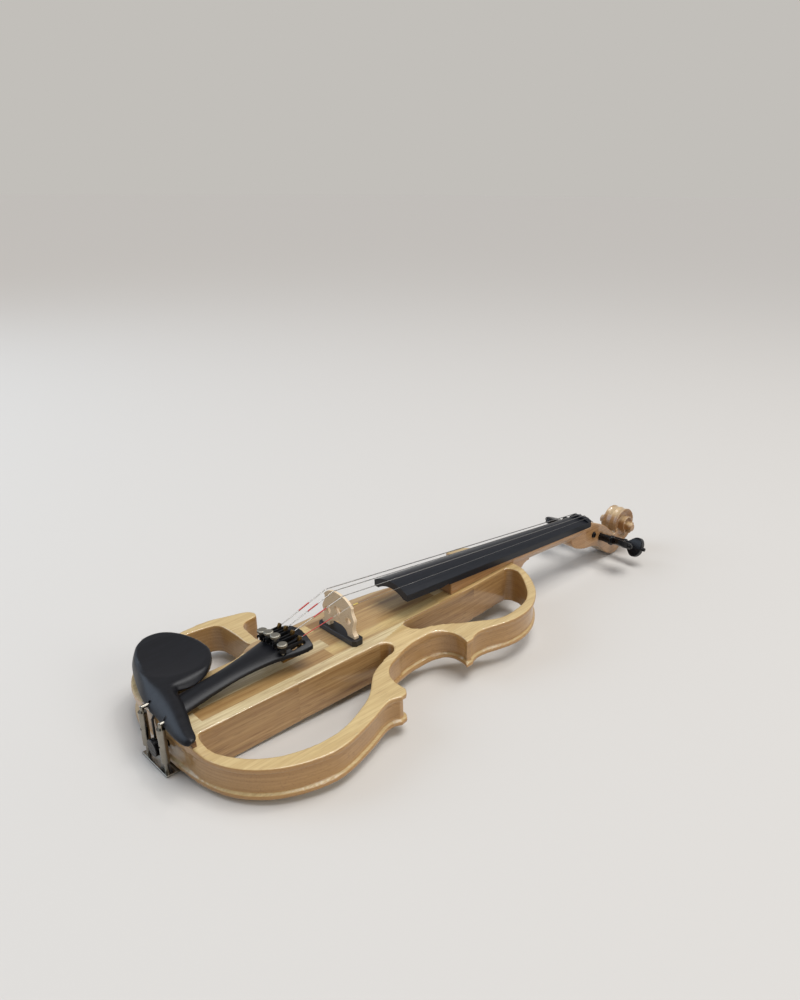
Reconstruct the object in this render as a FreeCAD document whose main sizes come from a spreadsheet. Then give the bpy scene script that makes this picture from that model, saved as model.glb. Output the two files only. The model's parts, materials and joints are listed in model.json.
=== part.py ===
"""Electric violin with an open frame body, as a parametric FreeCAD document.

Frame of the part, in millimetres: X runs across the strings towards the treble side, Y runs
along them from the tail to the scroll, and Z is up. The origin lies on the flat back of the
body's core, straight under the bridge.
"""
import FreeCAD, Part
import math
import os

from FreeCAD import Placement, Rotation, Vector

doc = FreeCAD.newDocument("electric_violin")
sheet = doc.addObject("Spreadsheet::Sheet", "sizes")

SIZES = [
    # Playing lengths
    ("string_length", 327.0), ("stop_length", 200.0), ("tail_length", 163.0),
    # Body heights, from the flat back of the core
    ("core_top", 34.2), ("edge_top", 29.2), ("edge_bottom", 3.5), ("arch_start", 31.0),
    ("arch_end", 52.0), ("tail_relief", 15.0), ("lip_top", 4.2), ("lip_bottom", 3.6),
    ("wall_recess", 1.8),
    # Body widths
    ("core_half_tail", 30.5), ("core_half_waist", 33.0), ("core_half_neck", 22.2),
    ("core_half_top", 17.0), ("lower_half", 106.3), ("upper_half", 79.3), ("waist_half", 46.3),
    # Fingerboard and nut
    ("board_length", 271.0), ("board_half_end", 21.0), ("board_half_nut", 12.0),
    ("board_radius", 42.0), ("board_edge", 6.0), ("board_end_z", 56.5), ("board_nut_z", 34.6),
    ("nut_depth", 5.5), ("nut_rise", 1.6),
    # Neck
    ("block_start", 112.0), ("neck_margin", 1.5), ("neck_depth", 13.0), ("heel_depth", 26.0),
    # Head
    ("cheek_half", 12.5), ("cheek_half_end", 9.5), ("cavity_half", 7.6), ("cavity_half_end", 5.8),
    ("volute_radius", 20.0),
    ("eye_half", 20.5), ("peg_radius", 3.9), ("peg_taper", 0.033), ("peg_fit", 0.05),
    ("peg_spacing", 13.5), ("peg_collar", 5.3), ("peg_thumb_wide", 22.0), ("peg_thumb_long", 19.0),
    ("peg_thumb_thick", 8.0), ("peg_reach", 26.0),
    # Bridge and pickup
    ("bridge_height", 33.0), ("bridge_foot", 4.4), ("bridge_top", 1.5), ("bridge_half", 20.8),
    ("pickup_long", 48.0), ("pickup_wide", 11.0), ("pickup_thick", 5.0), ("string_spread", 33.5),
    ("nut_spread", 16.0),
    # Strings, by radius
    ("gauge_g", 0.40), ("gauge_d", 0.36), ("gauge_a", 0.33), ("gauge_e", 0.14),
    ("winding_gap", 0.35), ("silk_skin", 0.22),
    # Tailpiece and tuners
    ("tailpiece_head", 42.0), ("tailpiece_tail", 154.0), ("tailpiece_half", 20.0),
    ("tailpiece_neck", 9.5), ("tailpiece_head_z", 56.6), ("tailpiece_tail_z", 42.5),
    ("tailpiece_skin", 4.0), ("tuner_pitch", 8.8), ("tuner_head", 4.0), ("tuner_stem", 1.35),
    ("lever_thick", 2.4), ("gut_radius", 0.9), ("button_radius", 6.5),
    # Chin rest and clamp
    ("rest_top", 50.0), ("rest_thick", 8.5), ("rest_dish", 4.0), ("cork_thick", 2.0),
    ("barrel_radius", 3.1), ("barrel_spread", 13.5), ("barrel_gap", 2.2), ("rod_radius", 1.5),
    ("foot_thick", 1.3), ("foot_cork", 1.0),
    # Electronics
    ("bay_depth", 34.0), ("bay_long", 52.0), ("bay_high", 21.0), ("plate_thick", 1.6),
    ("jack_bore", 3.2), ("jack_depth", 30.0), ("phones_bore", 1.8), ("knob_radius", 5.6),
    ("knob_high", 9.0), ("shaft_radius", 3.0), ("control_pitch", 12.8),
    ("cell_wide", 26.5), ("cell_long", 48.5), ("cell_thick", 17.5), ("cell_room", 1.5),
    ("cover_thick", 2.0), ("cover_lap", 4.0), ("screw_radius", 1.4), ("lead_radius", 1.0),
]
for row, (alias, value) in enumerate(SIZES, start=1):
    sheet.set("A%d" % row, alias)
    sheet.set("B%d" % row, str(value))
    sheet.setAlias("B%d" % row, alias)
doc.recompute()

parts = []


def size(alias):
    """The value of one cell of the sheet."""
    return float(sheet.get(alias))


def bind(obj, **cells):
    """Bind properties of an object to expressions in the sheet's aliases."""
    for prop, cell in cells.items():
        obj.setExpression(prop, "<<sizes>>.%s" % cell if cell.isidentifier() else cell)
    return obj


def keep(obj, label):
    """Mark an object as one sub-part, whose label names its file."""
    obj.Label = label
    parts.append(obj)
    return obj


def smooth(points):
    curve = Part.BSplineCurve()
    curve.interpolate([Vector(x, y, 0) for x, y in points])
    return curve


def runs(*stretches):
    """Curves of a closed outline: two points make a line and more make a smooth curve."""
    curves = []
    for points in stretches:
        if len(points) == 2:
            curves.append(Part.LineSegment(Vector(*points[0], 0), Vector(*points[1], 0)))
        else:
            curves.append(smooth(points))
    return curves


def loop(points):
    """Straight lines through the points and back to the first."""
    return runs(*[(a, b) for a, b in zip(points, points[1:] + points[:1])])


# A sketch in plan, one in the cross-section looking along Y, and one seen from the side
PLAN = Rotation()
SECTION = Rotation(Vector(1, 0, 0), Vector(0, 0, 1), Vector(0, -1, 0), "ZXY")
SIDE = Rotation(Vector(0, 1, 0), Vector(0, 0, 1), Vector(1, 0, 0), "ZXY")
ALONG = {"plan": Vector(0, 0, 1), "section": Vector(0, 1, 0), "side": Vector(1, 0, 0)}
TURN = {"plan": PLAN, "section": SECTION, "side": SIDE}


def prism(name, view, curves, start, length):
    """A sketch in one of the three views, extruded from its start over a length or a cell."""
    drawing = doc.addObject("Sketcher::SketchObject", name + "_sketch")
    drawing.addGeometry(curves, False)
    drawing.Placement = Placement(ALONG[view] * start, TURN[view])
    solid = doc.addObject("Part::Extrusion", name)
    solid.Base = drawing
    solid.DirMode = "Custom"
    solid.Dir = ALONG[view]
    solid.Solid = True
    if isinstance(length, str):
        bind(solid, LengthFwd=length)
    else:
        solid.LengthFwd = length
    return solid


def box(name, low, high):
    block = doc.addObject("Part::Box", name)
    block.Length, block.Width, block.Height = [b - a for a, b in zip(low, high)]
    block.Placement = Placement(Vector(*low), Rotation())
    return block


TO = {"x": Rotation(Vector(0, 1, 0), 90), "y": Rotation(Vector(1, 0, 0), -90), "z": Rotation()}


def rod(name, axis, base, length, radius):
    """A cylinder along an axis from its base; the radius is a cell or a number."""
    bar = doc.addObject("Part::Cylinder", name)
    bar.Height = length
    if isinstance(radius, str):
        bind(bar, Radius=radius)
    else:
        bar.Radius = radius
    bar.Placement = Placement(Vector(*base), TO[axis])
    return bar


def cut(name, base, *tools):
    """Cut the tools from the base one after another."""
    for number, tool in enumerate(tools, start=1):
        last = number == len(tools)
        result = doc.addObject("Part::Cut", name if last else "%s_step_%d" % (name, number))
        result.Base = base
        result.Tool = tool
        base = result
    return base


def fuse(name, *shapes):
    result = doc.addObject("Part::MultiFuse", name)
    result.Shapes = list(shapes)
    return result


def common(name, *shapes):
    result = doc.addObject("Part::MultiCommon", name)
    result.Shapes = list(shapes)
    return result


def feature(name, shape):
    result = doc.addObject("Part::Feature", name)
    result.Shape = shape
    return result


# Heights and places worked out from the sheet
tail_y = -size("tail_length")
neck_y = size("stop_length")
nut_y = size("string_length")
board_y = nut_y - size("board_length")
core_top = size("core_top")
edge_top = size("edge_top")
edge_bottom = size("edge_bottom")
relief_y = tail_y + size("tail_relief")
core_tail = size("core_half_tail")
core_waist = size("core_half_waist")
core_neck = size("core_half_neck")
core_end = size("core_half_top")
lower = size("lower_half")
upper = size("upper_half")
waist = size("waist_half")
UPPER_WINDOW_START = 48.0
FAR = 400.0


def board_z(y):
    """Height of the fingerboard's top edge at a place along it."""
    slope = (size("board_nut_z") - size("board_end_z")) / size("board_length")
    return size("board_end_z") + slope * (y - board_y)


def board_half(y):
    slope = (size("board_half_nut") - size("board_half_end")) / size("board_length")
    return size("board_half_end") + slope * (y - board_y)


# Body: a core with a treble frame, a bass hook and a bass horn glued to it
TREBLE_LOWER = [
    (0, tail_y), (0.26 * lower, tail_y + 1.4), (0.46 * lower, tail_y + 4.4),
    (0.62 * lower, tail_y + 10.2), (0.79 * lower, tail_y + 23), (0.9 * lower, tail_y + 38.5),
    (0.98 * lower, -102.5), (lower, -87), (0.966 * lower, -66.6), (0.887 * lower, -40.8),
    (0.85 * lower, -26), (0.876 * lower, -18.2),
]
TREBLE_WAIST = [
    (waist + 40.8, -8.5), (waist + 28.3, -8.2), (waist + 18.8, -4.7), (waist + 9, 6),
    (waist + 4.8, 17.6), (waist + 0.8, 33.5), (waist, 45.6), (waist + 2.9, 66),
    (waist + 8.7, 71.9), (waist + 16.2, 73.7), (waist + 29.3, 70.5),
]
TREBLE_UPPER = [
    (waist + 29.4, 78.2), (0.925 * upper, 81.8), (0.903 * upper, 90.7), (0.957 * upper, 110.9),
    (upper, 133), (0.914 * upper, 160.8), (0.813 * upper, 173.6), (0.685 * upper, neck_y - 15),
    (0.526 * upper, neck_y - 6.6), (0.36 * upper, neck_y - 2.3), (core_end, neck_y),
]
LOWER_WINDOW = [
    (core_tail - 1, tail_y + 16), (core_tail + 1.3, tail_y + 12.8), (35.5, tail_y + 11.6),
    (42, tail_y + 11.4), (52.5, tail_y + 14.6), (65.4, tail_y + 22), (lower - 23, -120.5),
    (lower - 17.8, -107.2),
    (lower - 14.9, -92.5), (lower - 15.4, -74.7), (lower - 18.2, -63.4), (lower - 23.8, -49.5),
    (75.6, -36), (64.8, -23.6), (waist + 9.6, -13.9), (waist + 2.6, 0.4), (waist - 0.6, 11),
]
LOWER_WINDOW_ROUND = [
    (waist - 0.6, 11), (waist - 2.2, 18), (waist - 5.4, 21.2), (waist - 9.3, 20.4),
    (waist - 12.6, 16), (core_waist - 1, 9.5),
]
UPPER_WINDOW = [
    (core_neck - 1, UPPER_WINDOW_START + 5.5), (24.5, UPPER_WINDOW_START - 0.4),
    (31.5, UPPER_WINDOW_START + 0.4), (35.6, 52.5), (39.3, 64.1), (44.2, 77.1), (50.4, 89),
    (59.6, 104), (upper - 11, 119.8), (upper - 9.9, 131.7), (upper - 11.1, 144),
    (upper - 14.8, 158), (upper - 22.9, 170.9), (38.3, neck_y - 14.2), (27.9, neck_y - 10.2),
    (21.5, neck_y - 11.5), (17.5, neck_y - 16),
]
BASS_TAIL = [
    (-0.26 * lower, tail_y + 1.4), (-0.46 * lower, tail_y + 4.4), (-0.62 * lower, tail_y + 10.2),
    (-0.79 * lower, tail_y + 23), (-0.9 * lower, tail_y + 38.5), (-0.98 * lower, -102.5),
    (-lower, -85), (0.3 - lower, -60.3), (5.7 - lower, -43.3), (8.2 - lower, -34.6),
    (13 - lower, -27.4), (18.4 - lower, -25.7), (23.4 - lower, -28.1),
]
HOOK_NOTCH = [
    (23.4 - lower, -28.1), (24.2 - lower, -35), (26 - lower, -41), (30.5 - lower, -45.2),
    (40 - lower, -47), (-57.4, -48), (-41, -48.3),
]
HOOK_WINDOW = [
    (-41, -58.2), (-61.7, -57.9), (28.9 - lower, -57.8), (21.7 - lower, -58.2),
    (15.1 - lower, -59.8), (11.3 - lower, -63.5), (9.3 - lower, -70), (7.6 - lower, -82),
    (10 - lower, -100), (14.8 - lower, -112), (23 - lower, -123), (-75.6, tail_y + 32.6),
    (-65.4, tail_y + 23.7), (-52.5, tail_y + 16.3), (-44.2, tail_y + 13.6),
    (-37, tail_y + 12.4), (1 - core_tail, tail_y + 13.2),
]
CORE_BASS = [
    (-core_tail, -85), (-35.5, -73), (-43.5, -63), (-45.3, -40), (-waist, 8), (0.9 - waist, 36),
    (4.3 - waist, 60), (10.5 - waist, 80), (-27.5, 100), (-core_neck, 122), (-20.3, 160),
    (-core_end, neck_y),
]
HORN_TIP_Y = 179.2
HORN_LOW = [(-core_end, 163), (-24, 170.5), (-36, 175.5), (-54.5, HORN_TIP_Y)]
HORN_TOP = [
    (-51.3, neck_y - 3), (-42.5, neck_y - 0.7), (-28, neck_y - 0.4), (-core_end + 2, neck_y),
]

tail_at_core = (core_tail, tail_y + 1.7)
core_outline = runs(
    [(-core_tail, tail_y + 1.7), (0, tail_y), tail_at_core],
    [tail_at_core, (core_waist, 14)],
    [(core_waist, 14), (core_neck, 52)],
    [(core_neck, 52), (core_neck, 119)],
    [(core_neck, 119), (core_end, neck_y)],
    [(core_end, neck_y), (-core_end, neck_y)],
    CORE_BASS,
    [(-core_tail, -85), (-core_tail, tail_y + 1.7)],
)


def arch_tools(name):
    """What the arch takes off above and below, outside the flat middle."""
    start, end = size("arch_start"), size("arch_end")
    tools = []
    for side, word in ((1, "treble"), (-1, "bass")):
        above = [(side * start, core_top), (side * end, edge_top), (side * FAR, edge_top),
                 (side * FAR, FAR), (side * start, FAR)]
        below = [(side * start, 0), (side * end, edge_bottom), (side * FAR, edge_bottom),
                 (side * FAR, -FAR), (side * start, -FAR)]
        tools.append(prism(name + "_above_" + word, "section", loop(above), -FAR, 2 * FAR))
        tools.append(prism(name + "_below_" + word, "section", loop(below), -FAR, 2 * FAR))
    tools.append(box(name + "_tail", (-FAR, -FAR, -FAR), (FAR, relief_y, edge_bottom)))
    return tools


def recess(name, points, inward):
    """A band cut into an outer wall, between the lips along its top and bottom edges."""
    curve = smooth(points)
    count = 26
    inner, outer = [], []
    for step in range(count + 1):
        place = curve.FirstParameter + (curve.LastParameter - curve.FirstParameter) * step / count
        at = curve.value(place)
        along = curve.tangent(place)[0]
        normal = Vector(-along.y, along.x, 0) * inward
        inner.append(((at + normal * size("wall_recess")).x, (at + normal * size("wall_recess")).y))
        outer.append(((at - normal * 4).x, (at - normal * 4).y))
    outline = runs(inner, (inner[-1], outer[-1]), list(reversed(outer)), (outer[0], inner[0]))
    low = edge_bottom + size("lip_bottom")
    return prism(name, "plan", outline, low, edge_top - size("lip_top") - low)


# Bays in the core: the battery's from the back, the controls' from the bass side
cell_y = -58.0
bay_y = -118.0
bay_z = 16.5
lead_x = -10.0
lead_z = 23.5
half_bay = size("bay_long") / 2
half_high = size("bay_high") / 2
cell_half_x = size("cell_wide") / 2 + size("cell_room")
cell_half_y = size("cell_long") / 2 + size("cell_room")
cover_half_x = cell_half_x + size("cover_lap")
cover_half_y = cell_half_y + size("cover_lap")
cover_screw_y = cell_half_y + size("cover_lap") / 2
bay_wall = size("bay_depth") - core_tail

core_blank = prism("core_blank", "plan", core_outline, 0, "core_top")
control_bay = box("control_bay", (-core_tail - 1, bay_y - half_bay, bay_z - half_high),
                  (bay_wall, bay_y + half_bay, bay_z + half_high))
cell_bay = box("cell_bay", (-cell_half_x, cell_y - cell_half_y, -1),
               (cell_half_x, cell_y + cell_half_y, size("cover_thick") + size("cell_thick") + 1))
cover_seat = box("cover_seat", (-cover_half_x, cell_y - cover_half_y, -1),
                 (cover_half_x, cell_y + cover_half_y, size("cover_thick")))
lead_run = rod("lead_run", "y", (lead_x, bay_y, lead_z), -bay_y, 2.0)
lead_drop = rod("lead_drop", "z", (lead_x, 0, lead_z - 3), core_top - lead_z + 4, 2.5)
button_hole = rod("button_hole", "y", (0, tail_y - 1, 16), 22, 4.0)
cover_holes = [
    rod("cover_hole_%d" % n, "z", (0, cell_y + end * cover_screw_y, -1), 11, "screw_radius")
    for n, end in enumerate((-1, 1))
]
tail_band = recess("tail_band", [(-core_tail - 1, tail_y + 1.75), (-14, tail_y + 0.4), (0, tail_y),
                                 (14, tail_y + 0.4), (core_tail + 1, tail_y + 1.75)], 1)
core = keep(cut("core", core_blank, *arch_tools("core_arch"), control_bay, cell_bay, cover_seat,
                lead_run, lead_drop, button_hole, tail_band, *cover_holes), "core_block")

core_mask = prism("core_mask", "plan", core_outline, -FAR, 2 * FAR)

corner_low = [TREBLE_LOWER[-1], (0.864 * lower, -12), TREBLE_WAIST[0]]
tail_recess = recess("tail_recess", TREBLE_LOWER[1:], 1)
treble_outline = runs(
    TREBLE_LOWER, (corner_low[0], corner_low[1]), (corner_low[1], corner_low[2]), TREBLE_WAIST,
    (TREBLE_WAIST[-1], TREBLE_UPPER[0]), TREBLE_UPPER,
    (TREBLE_UPPER[-1], (core_end - 2, neck_y - 16)),
    ((core_end - 2, neck_y - 16), UPPER_WINDOW[-1]), list(reversed(UPPER_WINDOW)),
    (UPPER_WINDOW[0], LOWER_WINDOW_ROUND[-1]), list(reversed(LOWER_WINDOW_ROUND)),
    list(reversed(LOWER_WINDOW)), (LOWER_WINDOW[0], (0, LOWER_WINDOW[0][1])),
    ((0, LOWER_WINDOW[0][1]), TREBLE_LOWER[0]),
)
treble_blank = prism("treble_blank", "plan", treble_outline, 0, "core_top")
keep(cut("treble", treble_blank, *arch_tools("treble_arch"), core_mask, tail_recess,
         recess("corner_recess", corner_low[:2], 1), recess("point_recess", corner_low[1:], 1),
         recess("waist_recess", TREBLE_WAIST, 1),
         recess("horn_recess", [TREBLE_WAIST[-1], TREBLE_UPPER[0]], 1),
         recess("upper_recess", TREBLE_UPPER[:-1], 1)), "treble_frame")

hook_blank = prism("hook_blank", "plan", runs(
    BASS_TAIL, HOOK_NOTCH, (HOOK_NOTCH[-1], HOOK_WINDOW[0]), HOOK_WINDOW,
    (HOOK_WINDOW[-1], BASS_TAIL[0])), 0, "core_top")
keep(cut("hook", hook_blank, *arch_tools("hook_arch"), core_mask,
         recess("hook_recess", BASS_TAIL[:-2], -1)), "bass_hook")

horn_blank = prism("horn_blank", "plan", runs(
    HORN_LOW, (HORN_LOW[-1], HORN_TOP[0]), HORN_TOP,
    (HORN_TOP[-1], (2 - core_end, 163)), ((2 - core_end, 163), HORN_LOW[0])), 0, "core_top")
keep(cut("horn", horn_blank, *arch_tools("horn_arch"), core_mask), "bass_horn")

# Neck: a block under the fingerboard, the shaft, and a heel against the end of the body
margin = size("neck_margin")
block_y = size("block_start")


def under_board(y):
    return board_z(y) - size("board_edge")


def half_round(y, half, top, depth):
    """A closed section across the neck: flat on top and round below."""
    points = [Vector(-half, y, top), Vector(-half, y, top - 2.5)]
    middle = Vector(0, y, top - depth)
    curve = Part.Arc(points[1], middle, Vector(half, y, top - 2.5)).toShape()
    return Part.Wire([
        Part.makeLine(points[0], points[1]), curve,
        Part.makeLine(Vector(half, y, top - 2.5), Vector(half, y, top)),
        Part.makeLine(Vector(half, y, top), points[0]),
    ])


shaft_end = nut_y + size("nut_depth")
sections = [half_round(y, board_half(y) - 0.4, under_board(y), size("neck_depth") - fall)
            for y, fall in ((neck_y, -1.5), (neck_y + 45, 0), (nut_y - 22, 0.6), (nut_y - 8, 0.2))]
shaft = feature("neck_shaft", Part.makeLoft(sections, True, False))
block_side = loop([
    (block_y, core_top), (neck_y + 8, core_top), (neck_y + 8, under_board(neck_y + 8)),
    (block_y, under_board(block_y))])
block_plan = loop([
    (margin - board_half(block_y), block_y), (board_half(block_y) - margin, block_y),
    (board_half(neck_y + 8) - margin, neck_y + 8), (margin - board_half(neck_y + 8), neck_y + 8)])
block = common("neck_block", prism("block_side", "side", block_side, -40, 80),
               prism("block_plan", "plan", block_plan, 0, 100))
heel_low = core_top - size("heel_depth")
heel_side = runs(
    ((neck_y, heel_low), (neck_y, core_top)), ((neck_y, core_top), (neck_y + 30, core_top)),
    ((neck_y + 30, core_top), (neck_y + 30, under_board(neck_y) - 13.2)),
    [(neck_y + 30, under_board(neck_y) - 13.2), (neck_y + 18, under_board(neck_y) - 15.5),
     (neck_y + 10, heel_low + 8), (neck_y + 5, heel_low)],
    ((neck_y + 5, heel_low), (neck_y, heel_low)))
heel_plan = loop([
    (1.5 - core_end, neck_y), (core_end - 1.5, neck_y), (11.5, neck_y + 30), (-11.5, neck_y + 30)])
heel = common("neck_heel", prism("heel_side", "side", heel_side, -40, 80),
              prism("heel_plan", "plan", heel_plan, 0, 100))
keep(fuse("neck_body", shaft, block, heel), "neck")

# Head: cheeks round the peg cavity, and a volute of stepped turns on each side
eye_y, eye_z = nut_y + 75.5, 7.5
FALL = 0.47


def peg_place(index):
    """Centre of a peg's hole, counted from the nut."""
    y = nut_y + 11.5 + index * size("peg_spacing")
    return y, 17.3 - FALL * index * size("peg_spacing")


HEAD_TOP = [
    (shaft_end, size("board_nut_z") - 0.8), (nut_y + 17, 28.9), (nut_y + 34, 20.5),
    (nut_y + 48, 9.5), (nut_y + 55.5, 2.5),
]
HEAD_BACK = [
    (eye_y, eye_z - size("volute_radius")), (nut_y + 68, -18), (nut_y + 58, -20.5),
    (nut_y + 47, -17.6), (nut_y + 34, -9.3), (nut_y + 22, -0.4), (nut_y + 12, 3.8),
    (nut_y, 5.6), (nut_y - 9, 7.2), (nut_y - 17, 10), (nut_y - 21.5, 14.5), (nut_y - 23, 19.5),
]
head_side = runs(
    HEAD_TOP, (HEAD_TOP[-1], (eye_y, eye_z)), ((eye_y, eye_z), HEAD_BACK[0]), HEAD_BACK,
    (HEAD_BACK[-1], (nut_y - 8, 24)), ((nut_y - 8, 24), (nut_y - 8, under_board(nut_y - 8))),
    ((nut_y - 8, under_board(nut_y - 8)), (shaft_end, under_board(shaft_end))),
    ((shaft_end, under_board(shaft_end)), HEAD_TOP[0]))
cheek, cheek_end = size("cheek_half"), size("cheek_half_end")
head_plan = loop([
    (-8.5, nut_y - 23.5), (8.5, nut_y - 23.5), (cheek, nut_y - 4), (cheek, nut_y + 20),
    (cheek_end, nut_y + 62), (cheek_end - 1, eye_y + 2), (1 - cheek_end, eye_y + 2),
    (-cheek_end, nut_y + 62), (-cheek, nut_y + 20), (-cheek, nut_y - 4)])
head_blank = common("head_blank", prism("head_side", "side", head_side, -60, 120),
                    prism("head_plan", "plan", head_plan, -60, 140))
cavity_side = runs(
    ((nut_y + 5.7, 60), (nut_y + 5.7, 12)),
    [(nut_y + 5.7, 12), (nut_y + 12, 9.4), (nut_y + 22, 4), (nut_y + 36, -6), (nut_y + 50, -13.3),
     (nut_y + 58, -9)],
    ((nut_y + 58, -9), (nut_y + 57.5, 12)), ((nut_y + 57.5, 12), (nut_y + 57.5, 60)),
    ((nut_y + 57.5, 60), (nut_y + 5.7, 60)))
cavity_wide, cavity_narrow = size("cavity_half"), size("cavity_half_end")
cavity_plan = loop([
    (-cavity_wide, nut_y + 5), (cavity_wide, nut_y + 5), (cavity_narrow, nut_y + 60),
    (-cavity_narrow, nut_y + 60)])
cavity = common("cavity", prism("cavity_side", "side", cavity_side, -20, 40),
                prism("cavity_plan", "plan", cavity_plan, -60, 140))
turns = []
VOLUTE = ((1.0, 8.5, 0.0), (0.78, 12.0, 1.2), (0.56, 15.6, 0.4), (0.34, 18.6, -0.3))
for index, (share, half, drift) in enumerate(VOLUTE):
    turns.append(rod("volute_%d" % index, "x", (-half, eye_y + drift, eye_z), 2 * half,
                     share * size("volute_radius")))
turns.append(rod("volute_eye", "x", (-size("eye_half"), eye_y, eye_z), 2 * size("eye_half"), 4.2))
bores = []
for index in range(4):
    y, z = peg_place(index)
    side = (-1, 1, -1, 1)[index]
    bore = doc.addObject("Part::Cone", "peg_bore_%d" % index)
    bore.Radius1 = size("peg_radius") + size("peg_fit") + 2 * size("peg_taper")
    bore.Radius2 = size("peg_radius") + size("peg_fit") - (2 * cheek + 2) * size("peg_taper")
    bore.Height = 2 * cheek + 4
    bore.Placement = Placement(Vector(side * (cheek + 2), y, z), Rotation(Vector(0, 1, 0), -90 * side))
    bores.append(bore)
keep(cut("head", fuse("head_solid", cut("head_open", head_blank, cavity), *turns), shaft, *bores),
     "pegbox_scroll")


# Fingerboard: crowned on top and hollowed under its free end
def board_section(y, inset=0.0):
    half, edge = board_half(y), board_z(y)
    crown = size("board_radius") - math.sqrt(size("board_radius") ** 2 - half ** 2)
    low = edge - size("board_edge")
    corners = [Vector(-half, y, low), Vector(half, y, low), Vector(half, y, edge),
               Vector(-half, y, edge)]
    return Part.Wire([
        Part.makeLine(corners[0], corners[1]), Part.makeLine(corners[1], corners[2]),
        Part.Arc(corners[2], Vector(0, y, edge + crown), corners[3]).toShape(),
        Part.makeLine(corners[3], corners[0]),
    ])


board_blank = feature("board_blank",
                      Part.makeLoft([board_section(board_y), board_section(nut_y)], True, True))
hollow_radius = 27.0
hollow = rod("board_hollow", "y", (0, board_y - 1, board_z(board_y) - 6 - hollow_radius + 5.2),
             block_y - board_y - 2, hollow_radius)
keep(cut("board", board_blank, hollow), "fingerboard")

nut_arc = size("board_half_nut")
nut_crown = size("board_nut_z") + size("nut_rise") + 2.0
nut_low = under_board(shaft_end)
nut_side = loop([(nut_y, under_board(nut_y)), (nut_y, nut_crown + 1), (shaft_end, nut_crown),
                 (shaft_end, nut_low)])
nut_face = runs(
    ((-nut_arc, 10), (nut_arc, 10)), ((nut_arc, 10), (nut_arc, size("board_nut_z") + 0.9)),
    [(nut_arc, size("board_nut_z") + 0.9), (nut_arc * 0.6, nut_crown - 0.2), (0, nut_crown + 0.6),
     (-nut_arc * 0.6, nut_crown - 0.2), (-nut_arc, size("board_nut_z") + 0.9)],
    ((-nut_arc, size("board_nut_z") + 0.9), (-nut_arc, 10)))
nut_blank = common("nut_blank", prism("nut_side", "side", nut_side, -30, 60),
                   prism("nut_face", "section", nut_face, nut_y - 1, 10))

# The four strings run over the bridge and the nut to their pegs
STRINGS = ["g", "d", "a", "e"]
PEG_OF = {"g": 0, "d": 2, "a": 3, "e": 1}
bar_top = core_top + size("pickup_thick")
bridge_crown = bar_top + size("bridge_height")


def string_x(index, spread):
    return (index - 1.5) / 3 * spread


def bridge_notch(index):
    """Where a string crosses the bridge; the bass side stands a little higher."""
    x = string_x(index, size("string_spread"))
    drop = size("board_radius") - math.sqrt(size("board_radius") ** 2 - x ** 2)
    return Vector(x, 0, bridge_crown - drop - 0.045 * x)


def nut_notch(index):
    x = string_x(index, size("nut_spread"))
    drop = size("board_radius") - math.sqrt(size("board_radius") ** 2 - x ** 2)
    return Vector(x, shaft_end + 0.4, nut_crown + 0.35 - drop)


def tailpiece_z(y):
    """Height of the tailpiece's crown along its length."""
    head, end = -size("tailpiece_head"), -size("tailpiece_tail")
    share = (y - end) / (head - end)
    return size("tailpiece_tail_z") + share * (size("tailpiece_head_z") - size("tailpiece_tail_z"))


def tuner_x(index):
    return (index - 1.5) * size("tuner_pitch")


HOOK_Y = -50.0
CROWN_RADIUS = 46.0


def tuner_z(index):
    """Height of the tailpiece's crowned top under a tuner."""
    x = tuner_x(index)
    drop = CROWN_RADIUS - math.sqrt(CROWN_RADIUS ** 2 - x ** 2)
    return tailpiece_z(HOOK_Y) - drop


def tube(path, radius):
    """Round tube through the points, with a slightly fuller ball at each bend."""
    solids = []
    for a, b in zip(path, path[1:]):
        solids.append(Part.makeCylinder(radius, (b - a).Length, a, b - a))
    for bend in path[1:-1]:
        solids.append(Part.makeSphere(1.04 * radius, bend))
    return solids[0].multiFuse(solids[1:]) if len(solids) > 1 else solids[0]


def winding(radius, gauge, turns):
    """Turns of a string side by side round the X axis, as one ribbed ring."""
    step = math.copysign(2 * gauge, turns)
    inside, middle = radius - gauge, radius
    end = step * abs(turns)
    edges = [Part.makeLine(Vector(0, 0, middle), Vector(0, 0, inside)),
             Part.makeLine(Vector(0, 0, inside), Vector(end, 0, inside)),
             Part.makeLine(Vector(end, 0, inside), Vector(end, 0, middle))]
    for n in reversed(range(abs(turns))):
        edges.append(Part.Arc(Vector((n + 1) * step, 0, middle), Vector((n + 0.5) * step, 0, radius + gauge),
                              Vector(n * step, 0, middle)).toShape())
    return Part.Face(Part.Wire(edges)).revolve(Vector(), Vector(1, 0, 0), 360)


string_paths = {}
for index, name in enumerate(STRINGS):
    gauge = size("gauge_" + name)
    anchor = Vector(tuner_x(index), HOOK_Y + 2.6, tuner_z(index) + 4.6)
    notch = bridge_notch(index) + Vector(0, 0, gauge)
    top = nut_notch(index) + Vector(0, 0, gauge)
    peg_y, peg_z = peg_place(PEG_OF[name])
    side = (-1, 1, -1, 1)[PEG_OF[name]]
    coil_radius = size("peg_radius") + size("winding_gap") + gauge
    coil_x = top.x * 0.35
    reach = Vector(coil_x, peg_y, peg_z) - Vector(top.x, top.y, top.z)
    flat = math.hypot(reach.y, reach.z)
    slope = math.atan2(reach.z, reach.y)
    lean = math.asin(coil_radius / flat)
    touch_angle = slope + lean + math.pi / 2
    touch = Vector(coil_x, peg_y + coil_radius * math.cos(touch_angle),
                   peg_z + coil_radius * math.sin(touch_angle))
    coil = winding(coil_radius, gauge, 4 * side)
    coil.translate(Vector(coil_x + side * gauge, peg_y, peg_z))
    run = tube([anchor, notch, top, touch], gauge)
    string_paths[name] = (anchor, notch, top, touch)
    keep(feature("string_" + name + "_shape", Part.makeCompound([run, coil])), "string_" + name)

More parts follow.
